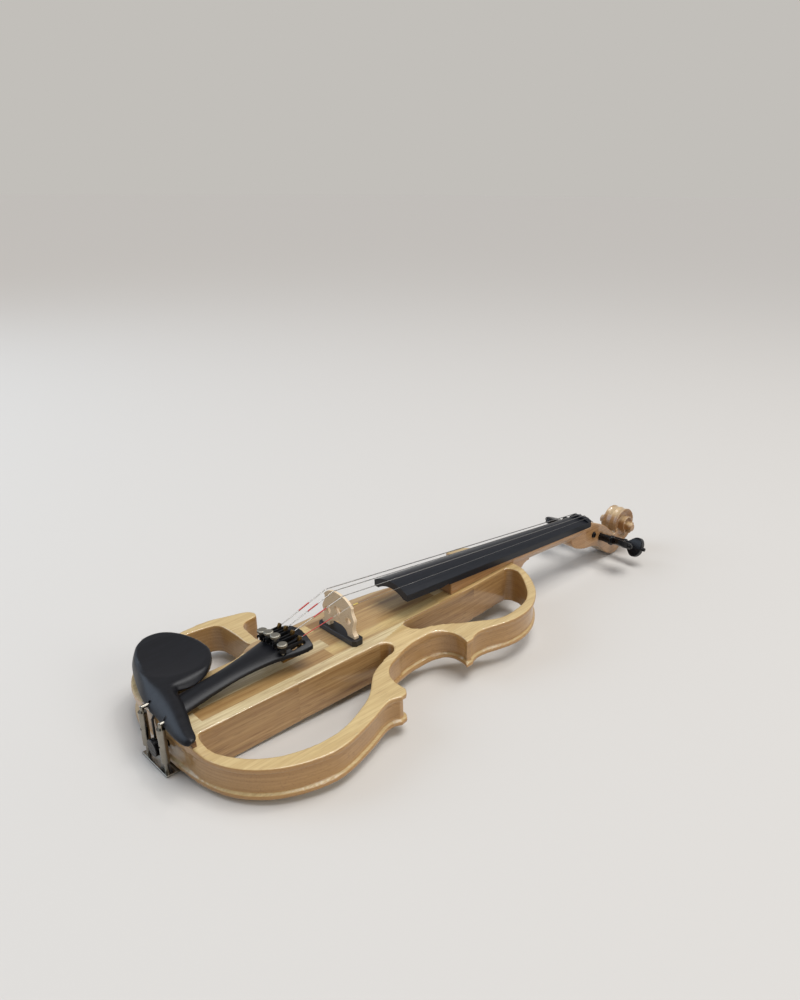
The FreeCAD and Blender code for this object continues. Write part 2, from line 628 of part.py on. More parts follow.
slots = [rod("nut_slot_%d" % index, "y", (nut_notch(index).x, nut_y - 1, nut_notch(index).z + 0.3),
             12, 0.45 + size("gauge_" + name)) for index, name in enumerate(STRINGS)]
keep(cut("nut_cut", nut_blank, *slots), "nut")

# Bridge: a heart, two kidneys and an arch between its feet
arch_base = bar_top
half = size("bridge_half")
shoulder = [
    (-17.6, arch_base + 27.5), (-10, bridge_crown - 0.6), (0, bridge_crown + 0.5),
    (10, bridge_crown - 1.5), (17.6, arch_base + 26),
]
bridge_face = runs(
    ((-half, arch_base), (-half + 9, arch_base)),
    [(-half + 9, arch_base), (-half + 11, arch_base + 4.5), (-6, arch_base + 6.5),
     (0, arch_base + 8.2), (6, arch_base + 6.5), (half - 11, arch_base + 4.5),
     (half - 9, arch_base)],
    ((half - 9, arch_base), (half, arch_base)),
    ((half, arch_base), (half, arch_base + 2.2)),
    [(half, arch_base + 2.2), (half - 2.4, arch_base + 5), (half - 1.6, arch_base + 12),
     (half - 0.6, arch_base + 15), (half - 2.6, arch_base + 20), (17.6, arch_base + 26)],
    list(reversed(shoulder)),
    [(-17.6, arch_base + 27.5), (2.6 - half, arch_base + 20), (0.6 - half, arch_base + 15),
     (1.6 - half, arch_base + 12), (2.4 - half, arch_base + 5), (-half, arch_base + 2.2)],
    ((-half, arch_base + 2.2), (-half, arch_base)))
foot, thin = size("bridge_foot") / 2, size("bridge_top") / 2
bridge_side = loop([(-foot, arch_base), (foot, arch_base), (thin, bridge_crown + 2),
                    (-foot + 0.9, bridge_crown + 2)])
bridge_blank = common("bridge_blank", prism("bridge_face", "section", bridge_face, -6, 12),
                      prism("bridge_side", "side", bridge_side, -30, 60))
heart = fuse("bridge_heart", rod("heart_left", "y", (-2.1, -8, arch_base + 19), 16, 2.3),
             rod("heart_right", "y", (2.1, -8, arch_base + 19), 16, 2.3),
             prism("heart_tip", "section", loop([(-4.1, arch_base + 18.1), (4.1, arch_base + 18.1),
                                                 (0, arch_base + 12.8)]), -8, 16))
kidneys = [prism("bridge_kidney_%d" % n, "section", runs(
    [(s * 10, arch_base + 12), (s * 12.5, arch_base + 16.5), (s * 16.2, arch_base + 15.5),
     (s * 15.6, arch_base + 12.6), (s * 12.6, arch_base + 10.2), (s * 10, arch_base + 12)]), -8, 16)
    for n, s in enumerate((-1, 1))]
notches = [rod("bridge_notch_%d" % index, "y",
               (bridge_notch(index).x, -8, bridge_notch(index).z + size("gauge_" + name) + 0.2), 16,
               size("gauge_" + name) + 0.5) for index, name in enumerate(STRINGS)]
keep(cut("bridge_cut", bridge_blank, heart, *kidneys, *notches), "bridge")

bar_half, bar_wide = size("pickup_long") / 2, size("pickup_wide") / 2
pickup = box("pickup_block", (-bar_half, -bar_wide, core_top), (bar_half, bar_wide, bar_top))
pickup_bar = doc.addObject("Part::Chamfer", "pickup_cut")
pickup_bar.Base = pickup
pickup_bar.Edges = [(n, 2.4, 2.4) for n in (1, 3, 5, 7)]
keep(pickup_bar, "pickup_bar")

lead_path = [Vector(lead_x, 0, core_top), Vector(lead_x, 0, lead_z),
             Vector(lead_x, bay_y + half_bay - 2, lead_z)]
keep(feature("lead_shape", tube(lead_path, size("lead_radius"))), "pickup_lead")

# Coloured silk round the playing strings' lower ends, and a sleeve where E crosses the bridge
silks = []
SILK = {"g": (18.5, 11.0), "d": (20.5, 10.5), "a": (18.5, 13.0), "e": (1.5, 28.0)}
for index, name in enumerate(STRINGS):
    anchor, notch, top, touch = string_paths[name]
    along = (notch - anchor).normalize()
    skin = size("gauge_" + name) + size("silk_skin")
    before, length = SILK[name]
    start = anchor + along * before
    sleeve = Part.makeCylinder(skin, length, start, along)
    core_hole = Part.makeCylinder(size("gauge_" + name), length, start, along)
    silks.append(sleeve.cut(core_hole))
keep(feature("silk_shape", Part.makeCompound(silks)), "string_silk")

anchor, notch, top, touch = string_paths["e"]
along = (top - notch).normalize()
sleeve = Part.makeCylinder(size("gauge_e") + 0.3, 5, notch + along * 1.2, along)
sleeve_bore = Part.makeCylinder(size("gauge_e"), 5, notch + along * 1.2, along)
keep(feature("sleeve_shape", sleeve.cut(sleeve_bore)), "e_string_sleeve")

# Pegs: a tapered shank, a collar and a thumb piece that widens and then thins to its rim
THUMB_WIDE = size("peg_thumb_wide") / 2
PEG_TURNED = {"g": 70, "d": 35, "a": -31, "e": 62}
THUMB_LONG, THUMB_HALF = size("peg_thumb_long"), 0.42 * size("peg_thumb_thick")
THUMB_WING = [(1.0, 0.31), (0.32 * THUMB_LONG, 0.46), (0.6 * THUMB_LONG, 0.93),
              (0.86 * THUMB_LONG, 1.0), (1.09 * THUMB_LONG, 0.62), (1.15 * THUMB_LONG, 0.26)]
for index in range(4):
    y, z = peg_place(index)
    side = (-1, 1, -1, 1)[index]
    name = {value: key for key, value in PEG_OF.items()}[index]
    radius, taper = size("peg_radius"), size("peg_taper")
    face = size("peg_reach")
    shank = doc.addObject("Part::Cone", "peg_shank_%d" % index)
    shank.Radius1 = radius + taper * (face - cheek)
    shank.Radius2 = radius - taper * (2 * cheek + 1.2)
    shank.Height = face + cheek + 1.2
    turn = Rotation(Vector(0, 1, 0), -90 * side)
    shank.Placement = Placement(Vector(side * face, y, z), turn)
    collar = rod("peg_collar_%d" % index, "x", (side * face - 1.5, y, z), 3.0, "peg_collar")
    wing = [(side * (face + along), z + THUMB_WIDE * wide) for along, wide in THUMB_WING]
    wing_low = [(x, 2 * z - height) for x, height in reversed(wing)]
    thumb = prism("peg_thumb_%d" % index, "section", runs(
        wing, (wing[-1], wing_low[0]), wing_low, (wing_low[-1], wing[0])),
        y - THUMB_HALF, 2 * THUMB_HALF)
    knob = rod("peg_knob_%d" % index, "x", (side * (face + 1.18 * THUMB_LONG) - 3, y, z), 6, 2.0)
    peg = keep(fuse("peg_%d" % index, shank, collar, thumb, knob), "peg_" + name)
    peg.Placement = Placement(Vector(), Rotation(Vector(1, 0, 0), PEG_TURNED[name]), Vector(0, y, z))

# Tailpiece: crowned head with a slot for each tuner, drawn in to a narrow neck
head_y, end_y = -size("tailpiece_head"), -size("tailpiece_tail")
wide, narrow = size("tailpiece_half"), size("tailpiece_neck")
right = [(wide, head_y), (wide - 0.6, head_y - 9), (wide - 5, head_y - 26),
         (narrow + 1.6, head_y - 46), (narrow, head_y - 66), (narrow + 0.8, end_y + 10),
         (narrow + 1.4, end_y)]
left = [(-x, y) for x, y in reversed(right)]
tail_plan = runs(right, (right[-1], left[0]), left, [left[-1], (0, head_y + 2), right[0]])
skin = size("tailpiece_skin")


def crown_section(y, low):
    """Section across the tailpiece: a crowned top over a shallower underside."""
    top = tailpiece_z(y) - low
    reach = 30.0
    drop = CROWN_RADIUS - math.sqrt(CROWN_RADIUS ** 2 - reach ** 2)
    ends = [Vector(-reach, y, top - drop), Vector(reach, y, top - drop)]
    arc = Part.Arc(ends[0], Vector(0, y, top), ends[1]).toShape()
    base = [Vector(reach, y, top - 50), Vector(-reach, y, top - 50)]
    return Part.Wire([arc, Part.makeLine(ends[1], base[0]), Part.makeLine(base[0], base[1]),
                      Part.makeLine(base[1], ends[0])])


tail_top = feature("tailpiece_top", Part.makeLoft(
    [crown_section(end_y - 5, 0), crown_section(head_y + 6, 0)], True, True))
tail_under = feature("tailpiece_under", Part.makeLoft(
    [crown_section(end_y - 6, skin + 3.0), crown_section(head_y + 7, skin)], True, True))
tail_blank = cut("tailpiece_blank",
                 common("tailpiece_crowned", prism("tailpiece_plan", "plan", tail_plan, 0, 100),
                        tail_top), tail_under)
SCREW_Y = HOOK_Y - 15.5
slots = [box("tuner_slot_%d" % index,
             (tuner_x(index) - 1.9, HOOK_Y - 8, 20), (tuner_x(index) + 1.9, HOOK_Y + 4.2, 90))
         for index in range(4)]
slots += [rod("tuner_hole_%d" % index, "z", (tuner_x(index), SCREW_Y, 20), 70, size("tuner_stem") + 0.3)
          for index in range(4)]
gut_x = 5.0
gut_z = tailpiece_z(end_y) - 4.2
gut_holes = [rod("gut_hole_%d" % n, "y", (s * gut_x, end_y - 8, gut_z), 24, 1.3)
             for n, s in enumerate((-1, 1))]
keep(cut("tailpiece_cut", tail_blank, *slots, *gut_holes), "tailpiece")

# Fine tuners: a frame on the tailpiece, a lever that holds the string, and a screw that tips it
SCREW_OUT = {"g": 4.6, "d": 5.4, "a": 6.2, "e": 3.6}
for index, name in enumerate(STRINGS):
    x, z = tuner_x(index), tuner_z(index)
    rail = 0.9
    low = z + 0.35 + abs(index - 1.5) * 0.4
    plates = [box("frame_rail_%d_%d" % (index, n), (x + s * 1.75 - rail / 2, SCREW_Y - 4, low),
                  (x + s * 1.75 + rail / 2, HOOK_Y + 2.4, low + 2.2)) for n, s in enumerate((-1, 1))]
    boss = rod("frame_boss_%d" % index, "z", (x, SCREW_Y, low - 1.7), 4.6, 2.9)
    pin = rod("frame_pin_%d" % index, "x", (x - 2.2, HOOK_Y, low + 1.1), 4.4, 0.6)
    thread = rod("frame_thread_%d" % index, "z", (x, SCREW_Y, low - 5), 20, size("tuner_stem") + 0.06)
    keep(cut("tuner_frame_%d" % index, fuse("frame_solid_%d" % index, *plates, boss, pin), thread),
         "tuner_frame_" + name)
    pivot_z = low + 1.1
    reach = SCREW_Y - HOOK_Y
    drop = skin + 7.6
    outline = loop([
        (HOOK_Y + 2.0, pivot_z + 3.6), (HOOK_Y + 0.2, pivot_z + 4.4), (HOOK_Y - 1.6, pivot_z + 1.5),
        (HOOK_Y - 1.8, pivot_z - drop + 1.8), (HOOK_Y + reach - 1.4, pivot_z - drop + 1.8),
        (HOOK_Y + reach - 1.4, pivot_z - drop), (HOOK_Y + 1.0, pivot_z - drop),
        (HOOK_Y + 1.5, pivot_z + 1.2)])
    half_lever = size("lever_thick") / 2
    arm = prism("lever_arm_%d" % index, "side", outline, x - half_lever, "lever_thick")
    eye = rod("lever_eye_%d" % index, "x", (x - 3, HOOK_Y, pivot_z), 6, 0.65)
    keep(cut("tuner_lever_%d" % index, arm, eye), "tuner_lever_" + name)
    foot_z = pivot_z - drop + 1.8 + 0.25
    top_z = low + SCREW_OUT[name]
    stem = rod("screw_stem_%d" % index, "z", (x, SCREW_Y, foot_z), top_z - foot_z, "tuner_stem")
    cap = rod("screw_head_%d" % index, "z", (x, SCREW_Y, top_z - 0.4), 2.6, "tuner_head")
    keep(fuse("tuner_screw_%d" % index, stem, cap), "tuner_screw_" + name)

# Saddle, gut and end button hold the tailpiece to the tail of the body
saddle_half = 16.0
saddle_top = core_top + 1.4
keep(box("saddle_block", (-saddle_half, tail_y + 0.4, core_top),
         (saddle_half, tail_y + 7.6, saddle_top)), "saddle")
button_z = 16.0
button = fuse("button", rod("button_stem", "y", (0, tail_y, button_z), 18, 3.7),
              rod("button_neck", "y", (0, tail_y - 4.2, button_z), 4.2, 4.6),
              rod("button_head", "y", (0, tail_y - 8.4, button_z), 4.2, "button_radius"))
keep(button, "end_button")
gut = size("gut_radius")
loop_radius = 4.6 + gut + 0.15
gut_drop_y = tail_y - gut - 1.3
gut_over = saddle_top + gut + 0.1
strands = []
for s in (-1, 1):
    path = [Vector(s * gut_x, end_y + 6, gut_z), Vector(s * gut_x, end_y - 0.5, gut_z),
            Vector(s * loop_radius, tail_y + 5, gut_over), Vector(s * loop_radius, tail_y - 0.6, gut_over),
            Vector(s * loop_radius, gut_drop_y, gut_over - 2.4),
            Vector(s * loop_radius, gut_drop_y, button_z)]
    strands.append(tube(path, gut))
under = Part.makeTorus(loop_radius, gut, Vector(0, gut_drop_y, button_z), Vector(0, 1, 0))
lower_half_space = Part.makeBox(40, 20, 20, Vector(-20, gut_drop_y - 10, button_z - 20))
strands.append(under.common(lower_half_space))
keep(feature("gut_shape", strands[0].multiFuse(strands[1:])), "tail_gut")

# Chin rest: a dished plate on the bass side with an arm over the tailpiece to the treble side
rest_top = size("rest_top")
rest_low = rest_top - size("rest_thick")
REST = [
    (-9.5, -142.5), (-7.8, -131), (-10.5, -119), (-22, -106.5), (-35, -99.7), (-47, -98.2),
    (-62, -100.5), (-77, -106.5), (-86.5, -116.5), (-87, -129), (-80, -141), (-67, -149.3),
    (-49, -155.8), (-24, -162.8), (5, -166), (28, -168), (40.5, -167.6), (46.6, -164.6),
    (46.4, -160.6), (38, -156.3), (22, -150.8), (6, -145.6),
]
rest_blank = prism("rest_blank", "plan", runs(REST, (REST[-1], REST[0])), rest_low, "rest_thick")
dish_radius = 110.0
dish = doc.addObject("Part::Sphere", "rest_dish")
dish.Radius = dish_radius
dish.Placement = Placement(Vector(-48, -126, rest_top - size("rest_dish") + dish_radius), Rotation())
dish_limit = rod("rest_dish_limit", "z", (-48, -126, rest_low), 60, 29.0)
shaped = cut("rest_shaped", rest_blank, common("rest_dish_cut", dish, dish_limit))
tunnel = box("rest_tunnel", (-narrow - 4, end_y - 4, 0), (narrow + 4, head_y - 60, tailpiece_z(end_y + 16) + 1.2))
FEET = (((-42, -157.5), (-24, -151)), ((24, -164.5), (41, -157)))
CORKS = (((-42, -157), (-24, -151.5)), ((24, -160), (40, -156.5)))
cork_top = core_top + size("cork_thick")
feet = [box("rest_foot_%d" % n, low + (cork_top,), high + (rest_low + 1,))
        for n, (low, high) in enumerate(FEET)]
corks = [box("rest_cork_%d" % n, low + (edge_top + 0.2,), high + (cork_top,))
         for n, (low, high) in enumerate(CORKS)]
barrel_y = tail_y - size("barrel_radius") - size("barrel_gap")
ROD_BITE = 7.0
rest_solid = fuse("rest_solid", cut("rest_open", shaped, tunnel), *feet)
bend_z = rest_low + 4.2
rod_room = [rod("rest_rod_%d" % n, "y", (s * size("barrel_spread"), barrel_y, bend_z), ROD_BITE,
                "rod_radius") for n, s in enumerate((-1, 1))]
keep(cut("rest_cut", rest_solid, *rod_room), "chin_rest")
cork_under = [prism("cork_under_%d" % n, "section", loop(
    [(0, -FAR), (s * FAR, -FAR), (s * FAR, edge_top), (s * size("arch_end"), edge_top),
     (s * size("arch_start"), core_top), (0, core_top)]), -FAR, 2 * FAR)
    for n, s in enumerate((-1, 1))]
keep(cut("cork_cut", fuse("cork_blank", *corks), *cork_under), "chin_rest_cork")

# Clamp: rods from the rest and the foot, drawn together by two turned barrels
foot_z = edge_bottom - size("foot_cork") - size("foot_thick")
barrel_low, barrel_high = 11.0, rest_low - 3.0
rods = []
for n, s in enumerate((-1, 1)):
    x = s * size("barrel_spread")
    rods.append(rod("rod_upper_%d" % n, "z", (x, barrel_y, barrel_high - 9), bend_z - barrel_high + 9,
                    "rod_radius"))
    rods.append(rod("rod_bend_%d" % n, "y", (x, barrel_y, bend_z), ROD_BITE, "rod_radius"))
    elbow = doc.addObject("Part::Sphere", "rod_elbow_%d" % n)
    elbow.Radius = 1.04 * size("rod_radius")
    elbow.Placement = Placement(Vector(x, barrel_y, bend_z), Rotation())
    rods.append(elbow)
    rods.append(rod("rod_lower_%d" % n, "z", (x, barrel_y, foot_z + size("foot_thick")),
                    barrel_low + 9 - foot_z - size("foot_thick"), "rod_radius"))
    sleeve = rod("barrel_body_%d" % n, "z", (x, barrel_y, barrel_low), barrel_high - barrel_low,
                 "barrel_radius")
    bore = rod("barrel_bore_%d" % n, "z", (x, barrel_y, barrel_low - 1), barrel_high - barrel_low + 2,
               size("rod_radius") + 0.05)
    hole = rod("barrel_hole_%d" % n, "y", (x, barrel_y - 6, (barrel_low + barrel_high) / 2), 12, 0.9)
    keep(cut("barrel_%d" % n, sleeve, bore, hole), ("clamp_barrel_bass", "clamp_barrel_treble")[n])
keep(fuse("rods", *rods), "clamp_rods")
foot_half = size("barrel_spread") + 5
foot_plate = box("foot_plate", (-foot_half, barrel_y - 3.2, foot_z),
                 (foot_half, tail_y + 9, foot_z + size("foot_thick")))
keep(foot_plate, "clamp_foot")
keep(box("foot_pad", (-foot_half, tail_y + 1.6, edge_bottom - size("foot_cork")),
         (foot_half, tail_y + 9, edge_bottom)), "clamp_foot_cork")

# Controls: a plate on the core's bass side with two knobs and two sockets
thick = size("plate_thick")
plate_x = -core_tail - thick
pitch = size("control_pitch")
output_y = bay_y + 1.5 * pitch
phones_y = bay_y + 0.5 * pitch
knob_y = {"volume": bay_y - 0.5 * pitch, "tone": bay_y - 1.5 * pitch}
plate = box("plate_blank", (plate_x, bay_y - half_bay - 5, bay_z - half_high - 2),
            (-core_tail, bay_y + half_bay + 5, bay_z + half_high + 1.5))
plate_holes = [rod("plate_output", "x", (plate_x - 1, output_y, bay_z), thick + 2, 5.0),
               rod("plate_phones", "x", (plate_x - 1, phones_y, bay_z), thick + 2, 3.2)]
plate_holes += [rod("plate_" + name, "x", (plate_x - 1, y, bay_z), thick + 2, "shaft_radius")
                for name, y in knob_y.items()]
screw_spots = [(bay_y + a * (half_bay + 2.6), bay_z + b * (half_high - 2)) for a in (-1, 1) for b in (-1, 1)]
plate_holes += [rod("plate_screw_%d" % n, "x", (plate_x - 1, y, z), thick + 2, "screw_radius")
                for n, (y, z) in enumerate(screw_spots)]
keep(cut("plate_cut", plate, *plate_holes), "control_plate")
screws = []
for n, (y, z) in enumerate(screw_spots):
    screws.append(rod("plate_pin_%d" % n, "x", (plate_x, y, z), thick, "screw_radius"))
    screws.append(rod("plate_cap_%d" % n, "x", (plate_x - 1.2, y, z), 1.2, 2.4))
keep(fuse("plate_screws", *screws), "control_plate_screws")


def socket(name, y, bore, sleeve, depth, collar):
    """A jack socket: a sleeve through the plate, with a collar outside and one within."""
    body = fuse(name + "_body", rod(name + "_sleeve", "x", (plate_x - 3, y, bay_z), depth, sleeve),
                rod(name + "_collar", "x", (plate_x - 2.2, y, bay_z), 2.2, collar),
                rod(name + "_inner", "x", (-core_tail, y, bay_z), depth - 8, collar))
    return cut(name + "_cut", body, rod(name + "_bore", "x", (plate_x - 4, y, bay_z), depth, bore))


keep(socket("output", output_y, "jack_bore", 5.0, size("jack_depth"), 6.2), "output_jack")
keep(socket("phones", phones_y, "phones_bore", 3.2, 17.0, 4.6), "headphone_jack")
pots = []
for name, y in knob_y.items():
    pots.append(rod(name + "_pot", "x", (-core_tail, y, bay_z), 9, 5.6))
    pots.append(rod(name + "_shaft", "x", (plate_x - 9, y, bay_z), 9 + thick, "shaft_radius"))
keep(fuse("pots", *pots), "control_pots")
for name, y in knob_y.items():
    grip = rod(name + "_grip", "x", (plate_x - 0.4 - size("knob_high"), y, bay_z),
               size("knob_high"), "knob_radius")
    bore = rod(name + "_bore", "x", (plate_x - 8.8 - 0.4, y, bay_z), 12, size("shaft_radius") + 0.05)
    mark = box(name + "_mark", (plate_x - 1.4 - size("knob_high"), y - 0.5, bay_z + 1.5),
               (plate_x + 0.3 - size("knob_high"), y + 0.5, bay_z + 8))
    keep(cut(name + "_knob_cut", grip, bore, mark), name + "_knob")
board = box("board", (bay_wall - 4.4, bay_y - half_bay + 2, bay_z - half_high + 2),
            (bay_wall - 2.8, bay_y + half_bay - 2, bay_z + half_high - 2))
keep(board, "preamp_board")

# Battery under a screwed cover in the back
cell_z = size("cover_thick") + 0.3
keep(box("cell", (-size("cell_wide") / 2, cell_y - size("cell_long") / 2, cell_z),
         (size("cell_wide") / 2, cell_y + size("cell_long") / 2, cell_z + size("cell_thick"))), "battery")
cover = box("cover", (-cover_half_x + 0.2, cell_y - cover_half_y + 0.2, 0.1),
            (cover_half_x - 0.2, cell_y + cover_half_y - 0.2, size("cover_thick")))
cover_drill = [rod("cover_drill_%d" % n, "z", (0, cell_y + end * cover_screw_y, -1), 5, "screw_radius")
               for n, end in enumerate((-1, 1))]
keep(cut("cover_cut", cover, *cover_drill), "battery_cover")
cover_screws = [rod("cover_screw_%d" % n, "z", (0, cell_y + end * cover_screw_y, 0.1), 9.8, "screw_radius")
                for n, end in enumerate((-1, 1))]
keep(fuse("cover_screw_pair", *cover_screws), "battery_cover_screws")

doc.recompute()

failed = []
for item in doc.Objects:
    if "Invalid" in item.State or "Error" in item.State:
        failed.append(item.Name)
for part in parts:
    if part.Shape.isNull() or not part.Shape.isValid() or part.Shape.Volume <= 0:
        failed.append(part.Label + " shape")
if failed:
    raise RuntimeError("these objects did not build: " + ", ".join(failed))

os.makedirs("parts", exist_ok=True)
for part in parts:
    part.Shape.exportStep(os.path.join("parts", part.Label + ".step"))
    box_ = part.Shape.BoundBox
    print("%-22s %d solids %9.1f mm3  x %.1f..%.1f y %.1f..%.1f z %.1f..%.1f" % (
        part.Label, len(part.Shape.Solids), part.Shape.Volume, box_.XMin, box_.XMax, box_.YMin,
        box_.YMax, box_.ZMin, box_.ZMax))
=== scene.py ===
# %% [markdown]
# An electric violin with an open frame body lies on its back on the floor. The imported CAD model
# gives every size and place. This script dresses it: wood, ebony, metal and silk, and the forms
# that a plain solid can't give, such as a carved scroll or a dished chin rest.

import json
import math

import bmesh
import bpy
from mathutils import Matrix, Vector, kdtree
from mathutils.bvhtree import BVHTree


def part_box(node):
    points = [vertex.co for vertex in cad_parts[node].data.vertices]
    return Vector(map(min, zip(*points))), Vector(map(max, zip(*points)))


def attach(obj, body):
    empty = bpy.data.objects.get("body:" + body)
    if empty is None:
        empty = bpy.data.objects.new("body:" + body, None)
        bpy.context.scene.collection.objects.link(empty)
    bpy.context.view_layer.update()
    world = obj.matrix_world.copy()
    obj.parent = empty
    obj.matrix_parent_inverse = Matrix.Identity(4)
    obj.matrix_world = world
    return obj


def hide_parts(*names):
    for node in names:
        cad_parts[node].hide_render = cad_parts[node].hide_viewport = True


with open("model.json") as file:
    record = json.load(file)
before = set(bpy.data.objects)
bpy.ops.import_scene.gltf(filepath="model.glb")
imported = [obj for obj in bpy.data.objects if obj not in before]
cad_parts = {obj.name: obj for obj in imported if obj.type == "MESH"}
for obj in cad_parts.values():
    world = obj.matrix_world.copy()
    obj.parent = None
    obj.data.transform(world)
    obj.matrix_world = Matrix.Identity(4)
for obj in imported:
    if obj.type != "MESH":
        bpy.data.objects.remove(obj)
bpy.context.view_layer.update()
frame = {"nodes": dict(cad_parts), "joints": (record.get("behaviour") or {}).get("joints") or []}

# %% [markdown]
# The part is drawn in millimetres, but Blender works in metres, so one factor stands between
# them. The camera stands above the tail on the treble side and looks along the strings. Its lens
# and place come from matching the outline of the real instrument.

# %% Camera
MM = 0.001
CAMERA_PLACE = Vector((467.78, -356.27, 388.99)) * MM
CAMERA_YAW, CAMERA_PITCH, CAMERA_ROLL = 0.83233, 0.384519, 0.025411
CAMERA_LENS = 29.64

ahead = Vector((-math.sin(CAMERA_YAW) * math.cos(CAMERA_PITCH),
                math.cos(CAMERA_YAW) * math.cos(CAMERA_PITCH), -math.sin(CAMERA_PITCH)))
level_right = Vector((math.cos(CAMERA_YAW), math.sin(CAMERA_YAW), 0))
level_down = ahead.cross(level_right)
right = level_right * math.cos(CAMERA_ROLL) + level_down * math.sin(CAMERA_ROLL)
down = level_down * math.cos(CAMERA_ROLL) - level_right * math.sin(CAMERA_ROLL)
turn = Matrix((right, -down, -ahead)).transposed()

camera_data = bpy.data.cameras.new("camera")
camera_data.sensor_width = 36
camera_data.lens = CAMERA_LENS
camera = bpy.data.objects.new("camera", camera_data)
camera.matrix_world = Matrix.Translation(CAMERA_PLACE) @ turn.to_4x4()
bpy.context.scene.collection.objects.link(camera)
bpy.context.scene.camera = camera
bpy.context.scene.view_settings.view_transform = "Standard"
print("the camera looks along", tuple(round(part, 3) for part in ahead))

# %% [markdown]
# A colour is picked as a web code, which is in sRGB, while the shaders add up light in linear
# values. One function makes the change, and another adds a node, sets it and wires it, so each
# material below reads as a short list of what it is made of.

# %% Colours and nodes
def colour(code):
    """Linear red, green, blue and alpha of a web colour code."""
    parts = [int(code[n:n + 2], 16) / 255 for n in (1, 3, 5)]
    linear = [part / 12.92 if part <= 0.04045 else ((part + 0.055) / 1.055) ** 2.4
              for part in parts]
    return linear + [1]


def add_node(tree, kind, settings=None, links=None):
    """Adds a node, sets its properties and sockets, and links sockets to other nodes' outputs."""
    node = tree.nodes.new(kind)
    for name, value in (settings or {}).items():
        if isinstance(name, str) and hasattr(node, name):
            setattr(node, name, value)
        else:
            node.inputs[name].default_value = value
    for name, source in (links or {}).items():
        tree.links.new(source, node.inputs[name])
    return node


def start_material(name, **look):
    """A material with a Principled shader, set as the look says: (tree, shader)."""
    material = bpy.data.materials.new(name)
    material.use_nodes = True
    tree = material.node_tree
    shader = tree.nodes["Principled BSDF"]
    for socket, value in look.items():
        shader.inputs[socket.replace("_", " ")].default_value = value
    return material, tree, shader


def mix_colours(tree, factor, first, second, blend="MIX"):
    """Colour output of a Mix node; factor, first and second are outputs or plain values."""
    node = tree.nodes.new("ShaderNodeMix")
    node.data_type = "RGBA"
    node.blend_type = blend
    for socket, value in ((0, factor), (6, first), (7, second)):
        if isinstance(value, bpy.types.NodeSocket):
            tree.links.new(value, node.inputs[socket])
        else:
            node.inputs[socket].default_value = value
    return node.outputs[2]


def object_pattern(tree, stretch):
    """Object coordinates, stretched to so many repeats per metre along each axis."""
    place = add_node(tree, "ShaderNodeTexCoord")
    mapping = add_node(tree, "ShaderNodeMapping", {"Scale": stretch},
                       {"Vector": place.outputs["Object"]})
    return mapping.outputs["Vector"]


print("web white is", colour("#FFFFFF"), "in linear values")

# %% [markdown]
# The floor is a plain pale sheet. The violin's back isn't parallel to it: the neck drops below
# the body, so the instrument rests on the edge of its back and on the head. The floor is tilted
# by that small angle, and the instrument stays where the CAD has it.

# %% Floor
REST_LINE_Y = -148 * MM
FLOOR_SLOPE = -0.0393
FLOOR_SPAN = 160.0
FLOOR_CLEAR = 0.0002

bm = bmesh.new()
bmesh.ops.create_grid(bm, x_segments=1, y_segments=1, size=FLOOR_SPAN / 2)
bmesh.ops.rotate(bm, verts=bm.verts, matrix=Matrix.Rotation(math.atan(FLOOR_SLOPE), 3, "X"))
bmesh.ops.translate(bm, verts=bm.verts, vec=(0, 0, -FLOOR_SLOPE * REST_LINE_Y - FLOOR_CLEAR))
floor_mesh = bpy.data.meshes.new("floor")
bm.to_mesh(floor_mesh)
bm.free()
floor = bpy.data.objects.new("floor", floor_mesh)
bpy.context.scene.collection.objects.link(floor)
floor_material, tree, shader = start_material(
    "pale_floor", Roughness=0.9, Base_Color=colour("#C9C5BF"))
floor_mesh.materials.append(floor_material)
print("the floor tilts by", round(math.degrees(math.atan(FLOOR_SLOPE)), 2), "degrees")

# %% [markdown]
# Light comes evenly from a wide source above, so the floor keeps one tone out to the horizon and
# shadows are soft. A weak lamp fills from the treble side, a cool one stands for a window beyond
# the tail, and three small lamps sparkle on the lips of the rims, which are tilted towards them.
# The backdrop is as pale as the floor.

# %% Lights
def lamp(name, place, target, size, watts, tint="#FFFFFF"):
    """A round area lamp, its place and size in metres, that points at a target."""
    data = bpy.data.lights.new(name, "AREA")
    data.shape = "DISK"
    data.size = size
    data.energy = watts
    data.color = colour(tint)[:3]
    body = bpy.data.objects.new(name, data)
    bpy.context.scene.collection.objects.link(body)
    aim = (Vector(target) - Vector(place)).to_track_quat("-Z", "Y")
    body.matrix_world = Matrix.Translation(place) @ aim.to_matrix().to_4x4()
    print(name, "gives", watts, "W from", place)


CEILING = 2.0
SPARK_SIZE, SPARK_WATTS = 0.09, 2.0
skylight = bpy.data.lights.new("skylight", "SUN")
skylight.energy = 2.0
skylight.angle = math.radians(40)
skylight_body = bpy.data.objects.new("skylight", skylight)
bpy.context.scene.collection.objects.link(skylight_body)
skylight_body.rotation_euler = Vector((-0.3, -0.45, -2.0)).to_track_quat("-Z", "Y").to_euler()
lamp("lamp_fill", (2.3, 0.3, 1.3), (0, 0.05, 0), 1.4, 18)
lamp("lamp_window", (-1.6, -1.1, 1.3), (0, 0, 0), 2.0, 26, "#C9DCF2")
for number, (x, y) in enumerate(((-0.2, 1.3), (0.5, 1.5), (0.2, 0.7))):
    lamp("lamp_spark_%d" % number, (x, y, CEILING), (0, 0.1, 0), SPARK_SIZE, SPARK_WATTS)

